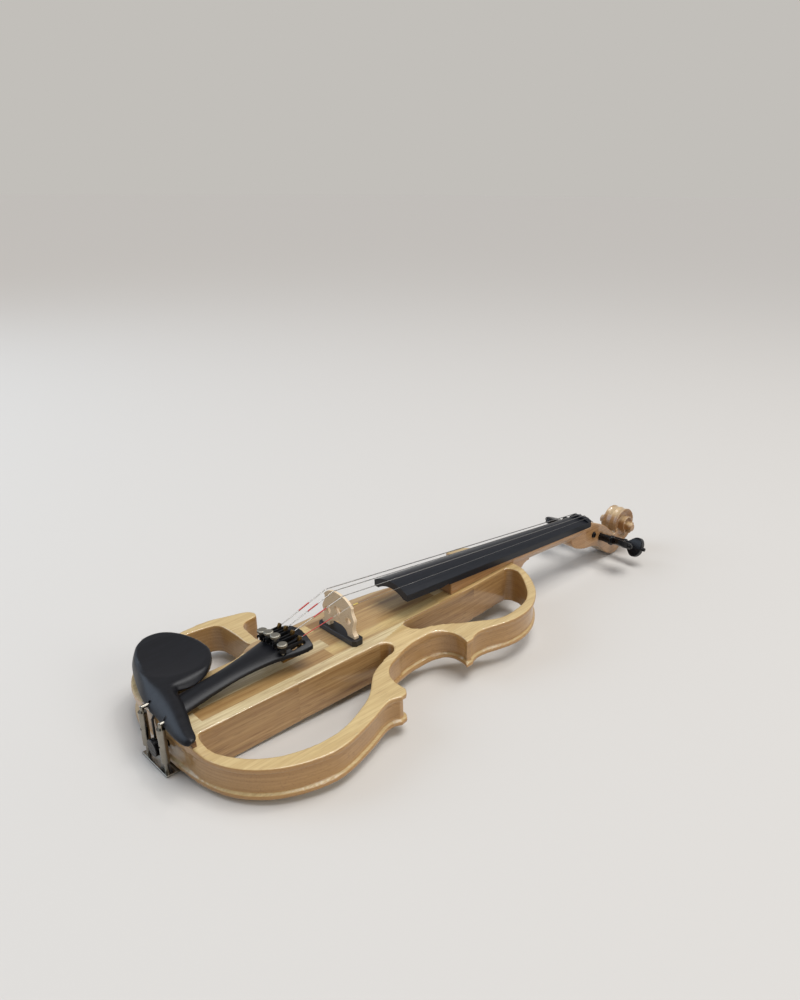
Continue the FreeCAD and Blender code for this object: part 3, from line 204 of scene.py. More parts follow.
world = bpy.data.worlds.new("world")
world.use_nodes = True
bpy.context.scene.world = world
world_tree = world.node_tree
sky = world_tree.nodes["Background"]
sky.inputs["Color"].default_value = colour("#DAD9DC")
sky.inputs["Strength"].default_value = 0.44
backdrop = add_node(world_tree, "ShaderNodeBackground",
                    {"Color": colour("#C2BFBA"), "Strength": 1.0})
seen = add_node(world_tree, "ShaderNodeLightPath")
either = add_node(world_tree, "ShaderNodeMixShader", {}, {
    0: seen.outputs["Is Camera Ray"], 1: sky.outputs[0], 2: backdrop.outputs[0]})
world_tree.links.new(either.outputs[0], world_tree.nodes["World Output"].inputs["Surface"])

# %% [markdown]
# The body is glued up from staves of a pale hardwood, like a butcher's block, under clear gloss
# varnish. Each stave keeps its own tone, and the grain runs along it. The pattern is worked out
# from places in the model: a stave is about 14 mm wide, and end joints come every 118 mm.

# %% Grain and staves
STAVE_WIDE, STAVE_LONG = 13.5 * MM, 118 * MM


def wood_grain(tree, vector, fine, wave, detail=6.0):
    """Streaks of a cut board: noise that is stretched far along the grain."""
    streaks = add_node(tree, "ShaderNodeTexNoise", {"Scale": fine, "Detail": detail, "Roughness": 0.62,
                                                    "Distortion": wave}, {"Vector": vector})
    return streaks.outputs["Fac"]


def glued_boards(tree, place):
    """A random vector and a random value for each glued stave, from Object coordinates."""
    parts = add_node(tree, "ShaderNodeSeparateXYZ", {}, {0: place})
    row = add_node(tree, "ShaderNodeMath", {"operation": "MULTIPLY_ADD", 1: 1 / STAVE_WIDE, 2: 40.45},
                   {0: parts.outputs["X"]})
    row = add_node(tree, "ShaderNodeMath", {"operation": "FLOOR"}, {0: row.outputs[0]})
    shift = add_node(tree, "ShaderNodeTexWhiteNoise", {"noise_dimensions": "1D"},
                     {"W": row.outputs[0]})
    step = add_node(tree, "ShaderNodeMath", {"operation": "MULTIPLY_ADD", 1: 1 / STAVE_LONG},
                    {0: parts.outputs["Y"], 2: shift.outputs["Value"]})
    step = add_node(tree, "ShaderNodeMath", {"operation": "FLOOR"}, {0: step.outputs[0]})
    board = add_node(tree, "ShaderNodeCombineXYZ", {}, {"X": row.outputs[0], "Y": step.outputs[0]})
    pick = add_node(tree, "ShaderNodeTexWhiteNoise", {"noise_dimensions": "3D"},
                    {"Vector": board.outputs[0]})
    return pick.outputs["Color"], pick.outputs["Value"]


print("a stave is", STAVE_WIDE / MM, "mm wide and", STAVE_LONG / MM, "mm long")

# %% [markdown]
# A flat face shows long straight streaks, and an upright wall shows the same grain packed close
# in height, so the two patterns are mixed by how steep the face is. Short dark flecks are the
# pores. Glued staves add streaks of brown heartwood and a tone of their own, which the walls show
# less. Upright walls are also painted darker, as painted shade. Under it all lies a satin ground,
# and the varnish is a clear coat that gives the sparkle.

# %% Varnished wood
STAVE_TONES = (("#FFFFFF", 0.0), ("#DCC6AC", 0.22), ("#F6EAD3", 0.42), ("#C2A88C", 0.62),
               ("#EFDDC0", 0.76), ("#D2BB9F", 0.9))
# The wall tint is painted shade: upright faces are multiplied darker than the flat tops.
WALL_PAINTED_SHADE = "#DCC2A6"


def varnished_wood(name, pale, middle, brown, staves):
    """Varnished hardwood in three tones, from one board or glued up from staves."""
    material, tree, shader = start_material(
        name, Roughness=0.34, IOR=1.5, Coat_Weight=0.65, Coat_Roughness=0.09, Coat_IOR=1.5)
    place = add_node(tree, "ShaderNodeTexCoord").outputs["Object"]
    if staves:
        board, pick = glued_boards(tree, place)
        place = add_node(tree, "ShaderNodeVectorMath",
                         {"operation": "MULTIPLY_ADD", 1: (0.7, 0.9, 0.8)},
                         {0: board, 2: place}).outputs[0]
    shape = add_node(tree, "ShaderNodeNewGeometry")
    upright = add_node(tree, "ShaderNodeSeparateXYZ", {}, {0: shape.outputs["Normal"]})
    top = add_node(tree, "ShaderNodeMath", {"operation": "ABSOLUTE"}, {0: upright.outputs["Z"]})
    top = add_node(tree, "ShaderNodeMapRange", {"From Min": 0.55, "From Max": 0.8},
                   {0: top.outputs[0]})
    along_top = add_node(tree, "ShaderNodeMapping", {"Scale": (320, 9, 60)}, {"Vector": place})
    along_wall = add_node(tree, "ShaderNodeMapping", {"Scale": (14, 11, 620)}, {"Vector": place})
    top_grain = wood_grain(tree, along_top.outputs[0], 1.0, 0.25)
    wall_grain = wood_grain(tree, along_wall.outputs[0], 1.0, 0.15)
    grain = mix_colours(tree, top.outputs[0], wall_grain, top_grain)
    contrast = add_node(tree, "ShaderNodeMapRange", {"From Min": 0.34, "From Max": 0.66},
                        {0: grain})
    tone = mix_colours(tree, contrast.outputs[0], colour(middle), colour(pale))
    pores = add_node(tree, "ShaderNodeMapping", {"Scale": (1500, 60, 900)}, {"Vector": place})
    flecks = wood_grain(tree, pores.outputs[0], 1.0, 0.0, 2.0)
    flecks = add_node(tree, "ShaderNodeMapRange",
                      {"From Min": 0.54, "From Max": 0.7, "To Max": 0.45}, {0: flecks})
    tone = mix_colours(tree, flecks.outputs[0], tone, colour(brown))
    if staves:
        heart = add_node(tree, "ShaderNodeTexNoise", {"Scale": 1.0, "Detail": 2.0}, {
            "Vector": add_node(tree, "ShaderNodeMapping", {"Scale": (95, 9, 95)},
                               {"Vector": place}).outputs[0]})
        heart = add_node(tree, "ShaderNodeMapRange",
                         {"From Min": 0.58, "From Max": 0.68, "To Max": 0.6},
                         {0: heart.outputs["Fac"]})
        tone = mix_colours(tree, heart.outputs[0], tone, colour(brown))
        ramp = add_node(tree, "ShaderNodeValToRGB", {}, {"Fac": pick})
        ramp.color_ramp.interpolation = "CONSTANT"
        for number, (code, start) in enumerate(STAVE_TONES):
            if number < 2:
                element = ramp.color_ramp.elements[number]
                element.position = start
            else:
                element = ramp.color_ramp.elements.new(start)
            element.color = colour(code)
        clear = add_node(tree, "ShaderNodeMapRange", {"To Min": 0.2, "To Max": 1.0},
                         {0: top.outputs[0]})
        tone = mix_colours(tree, clear.outputs[0], tone, ramp.outputs["Color"], "MULTIPLY")
    # Painted shade: upright walls are multiplied by the darker wall tint, while flat tops stay as they
    # are.
    painted_wall_shade = mix_colours(tree, top.outputs[0], colour(WALL_PAINTED_SHADE), colour("#FFFFFF"))
    tone = mix_colours(tree, 1.0, tone, painted_wall_shade, "MULTIPLY")
    tree.links.new(tone, shader.inputs["Base Color"])
    relief = add_node(tree, "ShaderNodeBump", {"Strength": 0.06, "Distance": 0.0002},
                      {"Height": grain})
    tree.links.new(relief.outputs[0], shader.inputs["Normal"])
    return material


RIM_WOOD = varnished_wood("varnished_pale_hardwood", "#CFB682", "#BA9D6A", "#94744C", False)
STAVE_WOOD = varnished_wood("varnished_glued_staves", "#D8C79B", "#B69D74", "#84674A", True)
NECK_WOOD = varnished_wood("varnished_maple", "#CDB289", "#AE906A", "#7E5F40", False)
print("varnished woods:", RIM_WOOD.name, STAVE_WOOD.name, NECK_WOOD.name)

# %% [markdown]
# The dark woods are ebony on the fingerboard and the pegs, and a plain wood stained black on the
# tailpiece and the chin rest. Neither is a flat black: ebony has fine brown streaks and a satin
# polish, and stained wood shows its pores where light grazes it. The ebony of the fingerboard, nut
# and saddle is tinted a little blue and lighter, as a painted cool sheen.

# %% Black woods
def black_wood(name, base, streak, roughness, along, bump):
    """A dark wood with fine streaks; along gives its grain in repeats per metre."""
    material, tree, shader = start_material(
        name, Roughness=roughness, IOR=1.45, Specular_IOR_Level=0.36)
    place = object_pattern(tree, along)
    grain = wood_grain(tree, place, 1.0, 0.1)
    ridge = add_node(tree, "ShaderNodeMapRange", {"From Min": 0.4, "From Max": 0.75}, {0: grain})
    tree.links.new(mix_colours(tree, ridge.outputs[0], colour(base), colour(streak)),
                   shader.inputs["Base Color"])
    gloss = add_node(tree, "ShaderNodeMapRange",
                     {"To Min": roughness - 0.05, "To Max": roughness + 0.08}, {0: grain})
    tree.links.new(gloss.outputs[0], shader.inputs["Roughness"])
    relief = add_node(tree, "ShaderNodeBump", {"Strength": bump, "Distance": 0.0002},
                      {"Height": grain})
    tree.links.new(relief.outputs[0], shader.inputs["Normal"])
    return material


# Painted cool sheen: this ebony's base and streak colours are tinted blue and lightened.
EBONY_WITH_PAINTED_SHEEN = black_wood("satin_ebony_painted_cool_sheen", "#12161C", "#1E1F24", 0.32, (900, 16, 900), 0.12)
STAINED = black_wood("black_stained_wood", "#0B0B0E", "#141419", 0.38, (500, 40, 500), 0.1)
PEG_EBONY = black_wood("polished_ebony", "#0A0A0B", "#171415", 0.26, (40, 900, 900), 0.06)
print("dark woods:", EBONY_WITH_PAINTED_SHEEN.name, STAINED.name, PEG_EBONY.name)

# %% [markdown]
# Metals take their colour as the tint of their reflection, so they are fully metallic and differ
# in colour and roughness. Plastics and nylon are plain and smooth, with a faint mottle in
# the gloss from the mould.

# %% Metals and plastics
def plain_finish(name, base, spread, roughness, scale, **look):
    """A finish whose tone and gloss vary a little, at a scale in repeats per metre."""
    material, tree, shader = start_material(name, Roughness=roughness, **look)
    place = object_pattern(tree, (scale, scale, scale))
    mottle = add_node(tree, "ShaderNodeTexNoise", {"Scale": 1.0, "Detail": 3.0}, {"Vector": place})
    tree.links.new(mix_colours(tree, mottle.outputs["Fac"], colour(base), colour(spread)),
                   shader.inputs["Base Color"])
    gloss = add_node(tree, "ShaderNodeMapRange",
                     {"To Min": roughness * 0.8, "To Max": roughness * 1.25},
                     {0: mottle.outputs["Fac"]})
    tree.links.new(gloss.outputs[0], shader.inputs["Roughness"])
    return material


NICKEL = plain_finish("polished_nickel", "#A29D93", "#7F7A70", 0.22, 300, Metallic=1.0)
SATIN_NICKEL = plain_finish("satin_nickel", "#A19C90", "#878275", 0.46, 300, Metallic=1.0)
BRASS = plain_finish("polished_brass", "#86693A", "#5F4826", 0.36, 300, Metallic=1.0)
BLACK_STEEL = plain_finish("blackened_steel", "#1B1B1D", "#2A2A2C", 0.3, 400, Metallic=0.6)
STRING_STEEL = plain_finish("wound_steel", "#B2B0AC", "#8F8D89", 0.36, 900, Metallic=1.0)
ABS_BLACK = plain_finish("moulded_abs", "#121214", "#1C1C1F", 0.3, 500)
NYLON = plain_finish("black_nylon", "#141415", "#1E1E20", 0.35, 500)
PALE_PLASTIC = plain_finish("yellow_plastic", "#D9C46A", "#C9B255", 0.4, 500)
BOARD_GREEN = plain_finish("green_solder_mask", "#1F5A34", "#184A2A", 0.35, 300)
CELL_CASE = plain_finish("battery_wrap", "#2B2D33", "#3A3C42", 0.35, 200)
print("metals:", NICKEL.name, SATIN_NICKEL.name, BRASS.name, BLACK_STEEL.name, STRING_STEEL.name)

# %% [markdown]
# The bridge is bare maple, and its quarter-cut face shows short dark flecks. Cork is a mosaic of
# small cells with dark crumbs. The silk on the strings' lower ends is red thread, wound in close
# turns; the dark and bright red rings in its colour are painted highlight and shade of those turns.

# %% Maple, cork and silk
BARE_MAPLE, tree, shader = start_material("bare_maple", Roughness=0.5, IOR=1.5)
flecks = add_node(tree, "ShaderNodeTexNoise", {"Scale": 1.0, "Detail": 3.0, "Roughness": 0.6},
                  {"Vector": object_pattern(tree, (260, 700, 1300))})
spread = add_node(tree, "ShaderNodeMapRange", {"From Min": 0.54, "From Max": 0.72, "To Max": 0.7},
                  {0: flecks.outputs["Fac"]})
broad = add_node(tree, "ShaderNodeTexNoise", {"Scale": 1.0},
                 {"Vector": object_pattern(tree, (90, 90, 40))})
tone = mix_colours(tree, broad.outputs["Fac"], colour("#D4BC99"), colour("#E2CDAE"))
tone = mix_colours(tree, spread.outputs[0], tone, colour("#B8936C"))
tree.links.new(tone, shader.inputs["Base Color"])

CORK, tree, shader = start_material("pressed_cork", Roughness=0.85)
cells = add_node(tree, "ShaderNodeTexVoronoi", {"Scale": 1.0},
                 {"Vector": object_pattern(tree, (900, 900, 900))})
tree.links.new(mix_colours(tree, cells.outputs["Distance"], colour("#553A24"), colour("#86623F")),
               shader.inputs["Base Color"])

RED_SILK, tree, shader = start_material("red_silk_thread", Roughness=0.45, Sheen_Weight=0.3)
# Painted highlight and shade: bands of dark and bright red stand for light on the thread's turns.
painted_turn_light = add_node(tree, "ShaderNodeTexWave",
                 {"Scale": 1.0, "bands_direction": "Y", "Distortion": 0.6},
                 {"Vector": object_pattern(tree, (600, 600, 600))})
tree.links.new(mix_colours(tree, painted_turn_light.outputs["Fac"], colour("#8E1812"), colour("#C8281C")),
               shader.inputs["Base Color"])
print("the materials so far:", len(bpy.data.materials))

# %% [markdown]
# Many pieces have the right shape in the CAD already, but every edge there is knife-sharp, and a
# real edge is rounded and catches a line of light. A copy of the solid is merged, its flat
# triangles are joined, and a bevel rounds what is sharp. The CAD's own mesh stays untouched.

# %% Copies, edges and riding
def copy_of(*nodes):
    """A welded bmesh of one or more CAD nodes."""
    bm = bmesh.new()
    for node in nodes:
        bm.from_mesh(frame["nodes"][node].data)
    bmesh.ops.remove_doubles(bm, verts=bm.verts, dist=0.00001)
    bmesh.ops.dissolve_limit(bm, angle_limit=math.radians(0.4), verts=bm.verts, edges=bm.edges)
    return bm


def to_object(name, bm, material, corner=38):
    """A bmesh as an object, shaded smooth with corners above an angle kept sharp."""
    mesh = bpy.data.meshes.new(name)
    bm.to_mesh(mesh)
    bm.free()
    if not isinstance(material, (list, tuple)):
        material = [material]
    for one in material:
        mesh.materials.append(one)
    for face in mesh.polygons:
        face.use_smooth = True
    mesh.set_sharp_from_angle(angle=math.radians(corner))
    body = bpy.data.objects.new(name, mesh)
    bpy.context.scene.collection.objects.link(body)
    return body


def soften(piece, width, segments=3, angle=40):
    """Rounds the sharp edges of a piece by a width in millimetres."""
    bevel = piece.modifiers.new("rounded_edges", "BEVEL")
    bevel.width = width * MM
    bevel.segments = segments
    bevel.limit_method = "ANGLE"
    bevel.angle_limit = math.radians(angle)
    bevel.use_clamp_overlap = True
    bevel.miter_outer = "MITER_ARC"
    shade = piece.modifiers.new("even_shading", "WEIGHTED_NORMAL")
    shade.keep_sharp = True
    return piece


def settle(piece, body, slot, *nodes):
    """Rides a piece on a body and hides the CAD nodes that it stands for; its slot is not used."""
    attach(piece, body)
    if nodes:
        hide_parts(*nodes)
    print(piece.name, "rides on", body, "with", len(piece.data.vertices), "points")
    return piece


# %% [markdown]
# A carved form has no sharp plan to start from. Its solid gets an even skin of small cells, whose
# points can be moved by a rule of their place, and a little smoothing takes the steps away. Two
# small functions read such rules: a soft step between two values, and a table of rows.

# %% Skins for carving
def applied(piece):
    """Makes a piece's modifiers part of its mesh."""
    graph = bpy.context.evaluated_depsgraph_get()
    mesh = bpy.data.meshes.new_from_object(piece.evaluated_get(graph))
    piece.modifiers.clear()
    piece.data = mesh
    return piece


def combined(piece, tool, operation):
    """Joins or cuts a piece with another object, which is then removed."""
    step = piece.modifiers.new("combine", "BOOLEAN")
    step.operation = operation
    step.solver = "EXACT"
    step.object = tool
    applied(piece)
    bpy.data.objects.remove(tool)
    return piece


def evened(piece, cell, rounds):
    """Gives a piece an even skin of small cells, in millimetres, that a form can be carved from."""
    skin = piece.modifiers.new("even_skin", "REMESH")
    skin.mode = "VOXEL"
    skin.voxel_size = cell * MM
    skin.use_smooth_shade = True
    return relaxed(piece, rounds)


def relaxed(piece, rounds):
    """Smooths a piece's points towards their neighbours."""
    relax = piece.modifiers.new("relax", "SMOOTH")
    relax.factor = 0.5
    relax.iterations = rounds
    return applied(piece)


def blend(value, low, high):
    """0 below low and 1 above high, with a soft step between."""
    share = min(max((value - low) / (high - low), 0), 1)
    return share * share * (3 - 2 * share)


def follow(value, table):
    """Reads a value from a table of (place, value) by straight lines between its rows."""
    for (start, first), (end, second) in zip(table, table[1:]):
        if value <= end:
            return first + (second - first) * max(value - start, 0) / (end - start)
    return table[-1][1]


print("halfway up a soft step is", blend(0.5, 0, 1))

# %% [markdown]
# The core, the treble frame, the bass hook and the horn are glued flush, so the skin is one
# mesh: the four solids are joined, and cells of 1 mm with a little smoothing round every edge
# over, which gives the lips along the rims their bright line.

# %% Body skin
BODY_CELL, BODY_ROUNDS = 1.0, 5
skin = to_object("body_skin", copy_of("core_block"), [STAVE_WOOD, RIM_WOOD])
for node in ("treble_frame", "bass_hook", "bass_horn"):
    combined(skin, to_object(node + "_copy", copy_of(node), RIM_WOOD), "UNION")
evened(skin, BODY_CELL, BODY_ROUNDS)
print("the body's skin has", len(skin.data.vertices), "points")

# %% [markdown]
# On the real body the outer wall is hollow between a top and a bottom lip. The solids have that
# band, but the smoothing has softened it, so it is carved deeper again. A point of the wall is in
# the hollow if a look straight up, from just outside it, meets a lip. Corners too thin to carve
# are spared.

# %% Hollow walls
FAR = 1000
HOLLOW_LOW, HOLLOW_TOP, HOLLOW_DEEP, HOLLOW_SOFT = 5.6, 26.4, 1.1, 2
UNDER_LIP, THIN_CORNER, THICK_ENOUGH = 1.0, 4, 9
LIP_REACH = 0.03
UPRIGHT = 0.7
UP = Vector((0, 0, 1))
core_surface = BVHTree.FromBMesh(copy_of("core_block"))
rim_surface = BVHTree.FromBMesh(copy_of("treble_frame", "bass_hook", "bass_horn"))
hollowed = 0
facing = [v.normal.copy() for v in skin.data.vertices]
for v, normal in zip(skin.data.vertices, facing):
    outwards = Vector((normal.x, normal.y, 0))
    height = v.co.z / MM
    if outwards.length < UPRIGHT or not HOLLOW_LOW < height < HOLLOW_TOP:
        continue
    outwards.normalize()
    start = v.co + outwards * UNDER_LIP * MM
    if any(surface.ray_cast(start, UP, LIP_REACH)[0] for surface in (core_surface, rim_surface)):
        share = blend(height, HOLLOW_LOW, HOLLOW_LOW + HOLLOW_SOFT)
        share *= 1 - blend(height, HOLLOW_TOP - HOLLOW_SOFT, HOLLOW_TOP)
        thick = [surface.ray_cast(v.co - outwards * MM, -outwards, THICK_ENOUGH * MM)[3]
                 for surface in (core_surface, rim_surface)]
        share *= blend(min(part or FAR for part in thick) / MM, THIN_CORNER, THICK_ENOUGH)
        v.co -= outwards * HOLLOW_DEEP * share * MM
        hollowed += 1
relaxed(skin, 2)
print("hollowed the outer walls at", hollowed, "points")

# %% [markdown]
# Each face takes the wood of the solid that it lies nearest to, so the glue line between core and
# rim shows as on the real body. Two cuts across keep the three pieces of a handy size, and each
# cut is closed with a flat face.

# %% Body
for face in skin.data.polygons:
    to_core = core_surface.find_nearest(face.center)[3]
    to_rim = rim_surface.find_nearest(face.center)[3]
    face.material_index = 1 if to_rim < to_core else 0
for name, low, high in (("body_tail", -FAR, -88), ("body_middle", -88, 40), ("body_neck", 40, FAR)):
    bm = bmesh.new()
    bm.from_mesh(skin.data)
    for limit, side in ((low, -1), (high, 1)):
        bmesh.ops.bisect_plane(bm, geom=bm.verts[:] + bm.edges[:] + bm.faces[:], clear_outer=True,
                               plane_co=(0, limit * MM, 0), plane_no=(0, side, 0))
        bmesh.ops.holes_fill(bm, edges=[edge for edge in bm.edges if edge.is_boundary], sides=0)
    bmesh.ops.recalc_face_normals(bm, faces=bm.faces)
    piece = to_object(name, bm, [STAVE_WOOD, RIM_WOOD], 70)
    settle(piece, "violin", "varnished_wood", "core_block", "treble_frame", "bass_hook", "bass_horn")
bpy.data.objects.remove(skin)

# %% [markdown]
# The chin rest's flat plate has a dish, bounded by a soft ridge on the tail side. The ridge is a
# line of places, drawn in plan, with a height for each place across.

# %% Chin rest ridge
RIDGE = [(-88, -130), (-79, -138.5), (-64, -145.5), (-46, -150.5), (-28, -152), (-14, -150),
         (-3, -150.5), (8, -153.5), (22, -158), (34, -161.5), (43, -163.5)]
RIDGE_HEIGHT = [(-88, 50), (-14, 50), (5, 49.4), (22, 48), (36, 46), (44, 44.4)]
RIDGE_STEPS = 12

ridge = []
for (x0, y0), (x1, y1) in zip(RIDGE, RIDGE[1:]):
    for step in range(RIDGE_STEPS):
        share = step / RIDGE_STEPS
        ridge.append((x0 + (x1 - x0) * share, y0 + (y1 - y0) * share))
ridge.append(RIDGE[-1])
ridge_tree = kdtree.KDTree(len(ridge))
for number, (x, y) in enumerate(ridge):
    ridge_tree.insert((x, y, 0), number)
ridge_tree.balance()
print("the ridge has", len(ridge), "places")

# %% [markdown]
# The rest is carved from its solid. On the body side of the ridge the plate keeps its dish and a
# rounded rim. Outside it the wood falls away in a broad round band, which runs on into a thick
# arm beside the tailpiece. Where the tailpiece passes below, the tunnel's roof stays as it is.

# %% Chin rest
REST_TOP, REST_LOW, TUNNEL_TOP, TUNNEL_HALF = 50.0, 41.5, 46.2, 14.5
DISH_KEPT = 0.5
PLATE_FROM, PLATE_TO = -16, -4
BAND_EDGE, ARM_EDGE, BAND_FALL = 41.5, 43.5, 2.3
RIM_DROP, RIM_WIDE = 1.2, 3
BAND_UNDER, PLATE_UNDER, UNDER_WIDE, UNDER_FALL = -1.6, 3.4, 12, 1.4
rest = evened(to_object("chin_rest_dressed", copy_of("chin_rest"), STAINED), 0.9, 1)
walls = [v.co / MM for v in rest.data.vertices
         if abs(v.normal.z) < 0.3 and TUNNEL_TOP < v.co.z / MM < REST_TOP - 1]
wall_tree = kdtree.KDTree(len(walls))
for number, spot in enumerate(walls):
    wall_tree.insert((spot.x, spot.y, 0), number)
wall_tree.balance()
facing = [v.normal.z for v in rest.data.vertices]
for v, rise in zip(rest.data.vertices, facing):
    spot = v.co / MM
    flat = Vector((spot.x, spot.y, 0))
    crest, number, to_crest = ridge_tree.find(flat)
    to_wall = wall_tree.find(flat)[2]
    ahead_of = ridge[min(number + 1, len(ridge) - 1)]
    behind = ridge[max(number - 1, 0)]
    along = Vector((ahead_of[0] - behind[0], ahead_of[1] - behind[1], 0))
    outside = along.cross(flat - crest).z < 0
    plate = 1 - blend(spot.x, PLATE_FROM, PLATE_TO)
    share = to_crest / max(to_crest + to_wall, 0.001)
    peak = follow(crest.x, RIDGE_HEIGHT)
    band = peak - (peak - (BAND_EDGE if outside else ARM_EDGE)) * share ** BAND_FALL
    disc = REST_TOP - RIM_DROP * max(1 - to_wall / RIM_WIDE, 0) ** 2
    if not outside and plate > 0.5 and rise > 0.5:
        spot.z = REST_TOP - (REST_TOP - spot.z) * DISH_KEPT
        v.co.z = spot.z * MM
    top = band if outside else band + (disc - band) * plate
    under = BAND_UNDER * share ** 2
    if not outside:
        under = PLATE_UNDER * plate * max(1 - to_wall / UNDER_WIDE, 0) ** UNDER_FALL
    in_tunnel = abs(spot.x) < TUNNEL_HALF and spot.z > REST_LOW + 0.5 and to_wall > 1
    floor_z = TUNNEL_TOP if in_tunnel else REST_LOW
    lift = min(max((spot.z - floor_z) / (REST_TOP - floor_z), 0), 1)
    if spot.z > REST_LOW - 0.8:
        sunk = 0 if in_tunnel else (1 - lift) * under
        v.co.z += (lift * (top - REST_TOP) + sunk) * MM
relaxed(rest, 8)
settle(rest, "violin", "black_wood", "chin_rest")

# %% [markdown]
# The solid has plain discs for the scroll. They are cut away first: a fan-shaped block round the
# scroll's eye takes off what the spiral replaces, and what is left of the eye's boss is drawn in
# under the spiral's sides.

# %% Room for the scroll
EYE = Vector((0, 402.5, 7.5)) * MM
FAN_FROM, FAN_TO, FAN_STEPS, FAN_REACH, FAN_HALF = -90, 194, 48, 20.7 * MM, 30 * MM
BOSS_SIDE, BOSS_REACH, BOSS_INSIDE = 10.3 * MM, 16 * MM, 8 * MM

pegbox = to_object("pegbox_dressed", copy_of("pegbox_scroll"), NECK_WOOD)
bm = bmesh.new()
fan = [bm.verts.new((-FAN_HALF, EYE.y, EYE.z))]
for step in range(FAN_STEPS + 1):
    angle = math.radians(FAN_FROM + (FAN_TO - FAN_FROM) * step / FAN_STEPS)
    fan.append(bm.verts.new((-FAN_HALF, EYE.y + FAN_REACH * math.cos(angle),
                             EYE.z + FAN_REACH * math.sin(angle))))
sector = bmesh.ops.extrude_face_region(bm, geom=[bm.faces.new(fan)])["geom"]
bmesh.ops.translate(bm, vec=(2 * FAN_HALF, 0, 0),
                    verts=[v for v in sector if isinstance(v, bmesh.types.BMVert)])
bmesh.ops.recalc_face_normals(bm, faces=bm.faces)
combined(pegbox, to_object("scroll_room", bm, NECK_WOOD), "DIFFERENCE")
for v in pegbox.data.vertices:
    if abs(v.co.x) > BOSS_SIDE and (v.co.yz - EYE.yz).length < BOSS_REACH:
        v.co.x = math.copysign(BOSS_INSIDE, v.co.x)
print("the pegbox keeps", len(pegbox.data.vertices), "points")

# %% [markdown]
# The scroll is a spiral. A cross-section that reaches from the eye to the back is turned round
# the eye in small steps, while it draws in and grows wider, so each turn stands proud of the one
# outside it, with a carved channel between them. Neck, pegbox and spiral then become one even
# skin, as they are cut from one block of wood.

# %% Pegbox and scroll
SCROLL_RADIUS = [(0, 19.9), (0.25, 19.8), (0.5, 19.2), (0.75, 17.0), (1.0, 14.2), (1.25, 12.4),
                 (1.5, 10.9), (1.75, 9.4), (2.0, 8.1), (2.25, 7.1), (2.45, 6.4)]
SCROLL_HALF = [(0, 8.7), (0.5, 8.8), (0.75, 9.6), (1.0, 11.2), (1.5, 13.8), (2.0, 16.6),
               (2.45, 18.8)]
SCROLL_TURNS, SCROLL_STEPS, CHANNEL = 2.45, 110, 3.8
EYE_RADIUS, EYE_LONG = 4.3 * MM, 40.6 * MM


def scroll_section(turns):
    """Points of the scroll's cross-section after some turns, in millimetres round the eye."""
    reach, half = follow(turns, SCROLL_RADIUS), follow(turns, SCROLL_HALF)
    side = [(half / 2, reach - 1.3), (half - 0.3, reach), (half, reach - 0.6),
            (half - 1, reach - 1.8), (half - CHANNEL, 0.74 * reach), (half - CHANNEL, 0.3)]
    points = [(0, reach - 0.3)] + side + [(-x, r) for x, r in reversed(side)]
    lift = Matrix.Rotation(2 * math.pi * turns, 3, "X")
    return [lift @ Vector((x, 0, -r)) * MM for x, r in points]


bm = bmesh.new()
ring = [bm.verts.new(point) for point in scroll_section(0)]
end_face = bm.faces.new(ring)
for step in range(SCROLL_STEPS):
    grown = bmesh.ops.extrude_face_region(bm, geom=[end_face])["geom"]
    moved = [v for v in grown if isinstance(v, bmesh.types.BMVert)]
    end_face = next(f for f in grown if isinstance(f, bmesh.types.BMFace))
    ring = [min(moved, key=lambda v: (v.co - old.co).length) for old in ring]
    for v, point in zip(ring, scroll_section((step + 1) * SCROLL_TURNS / SCROLL_STEPS)):
        v.co = point
bmesh.ops.create_cone(bm, cap_ends=True, segments=40, radius1=EYE_RADIUS, radius2=EYE_RADIUS,
                      depth=EYE_LONG, matrix=Matrix.Rotation(math.pi / 2, 4, "Y"))
bmesh.ops.translate(bm, vec=EYE, verts=bm.verts)
bmesh.ops.recalc_face_normals(bm, faces=bm.faces)
bm.from_mesh(pegbox.data)
bm.from_mesh(frame["nodes"]["neck"].data)
bpy.data.objects.remove(pegbox)
head = evened(to_object("neck_and_head", bm, NECK_WOOD), 0.72, 3)
settle(head, "violin", "varnished_wood", "neck", "pegbox_scroll")

# %% [markdown]
# Each peg's thumb piece is full in the middle and thins to its rim, like a lens. The peg's plane
# is found from its own farthest point, since every peg stands at another angle.

# %% Pegs
STRING_NAMES = ["g", "d", "a", "e"]
AXIS_PLACE = {joint["child"]: Vector(joint["pos_m"]) for joint in frame["joints"]}
THUMB_START, THUMB_REACH, THUMB_THINNING = 27.0, 11.2, 0.6
for name in STRING_NAMES:
    peg = evened(to_object("peg_%s_dressed" % name, copy_of("peg_" + name), PEG_EBONY), 0.4, 2)
    centre = AXIS_PLACE["peg_" + name]
    thumb = [v for v in peg.data.vertices if abs(v.co.x) > THUMB_START * MM]
    across_axis = [Vector((0, v.co.y - centre.y, v.co.z - centre.z)) for v in thumb]
    wide = max(across_axis, key=lambda offset: offset.length).normalized()
    thick = wide.cross(Vector((1, 0, 0)))
    for v, offset in zip(thumb, across_axis):
        share = min(abs(offset.dot(wide)) / (THUMB_REACH * MM), 1)
        fullness = math.sqrt(1 - THUMB_THINNING * share ** 2)
        v.co += thick * offset.dot(thick) * (fullness - 1)
    relaxed(peg, 5)
    settle(peg, "peg_" + name, "black_wood", "peg_" + name)

# %% [markdown]
# The tailpiece has a flat head and a nearly round neck. Each cross-section is squeezed towards
# its own middle, most at the sides, so the neck turns into an oval and the head keeps its crown.

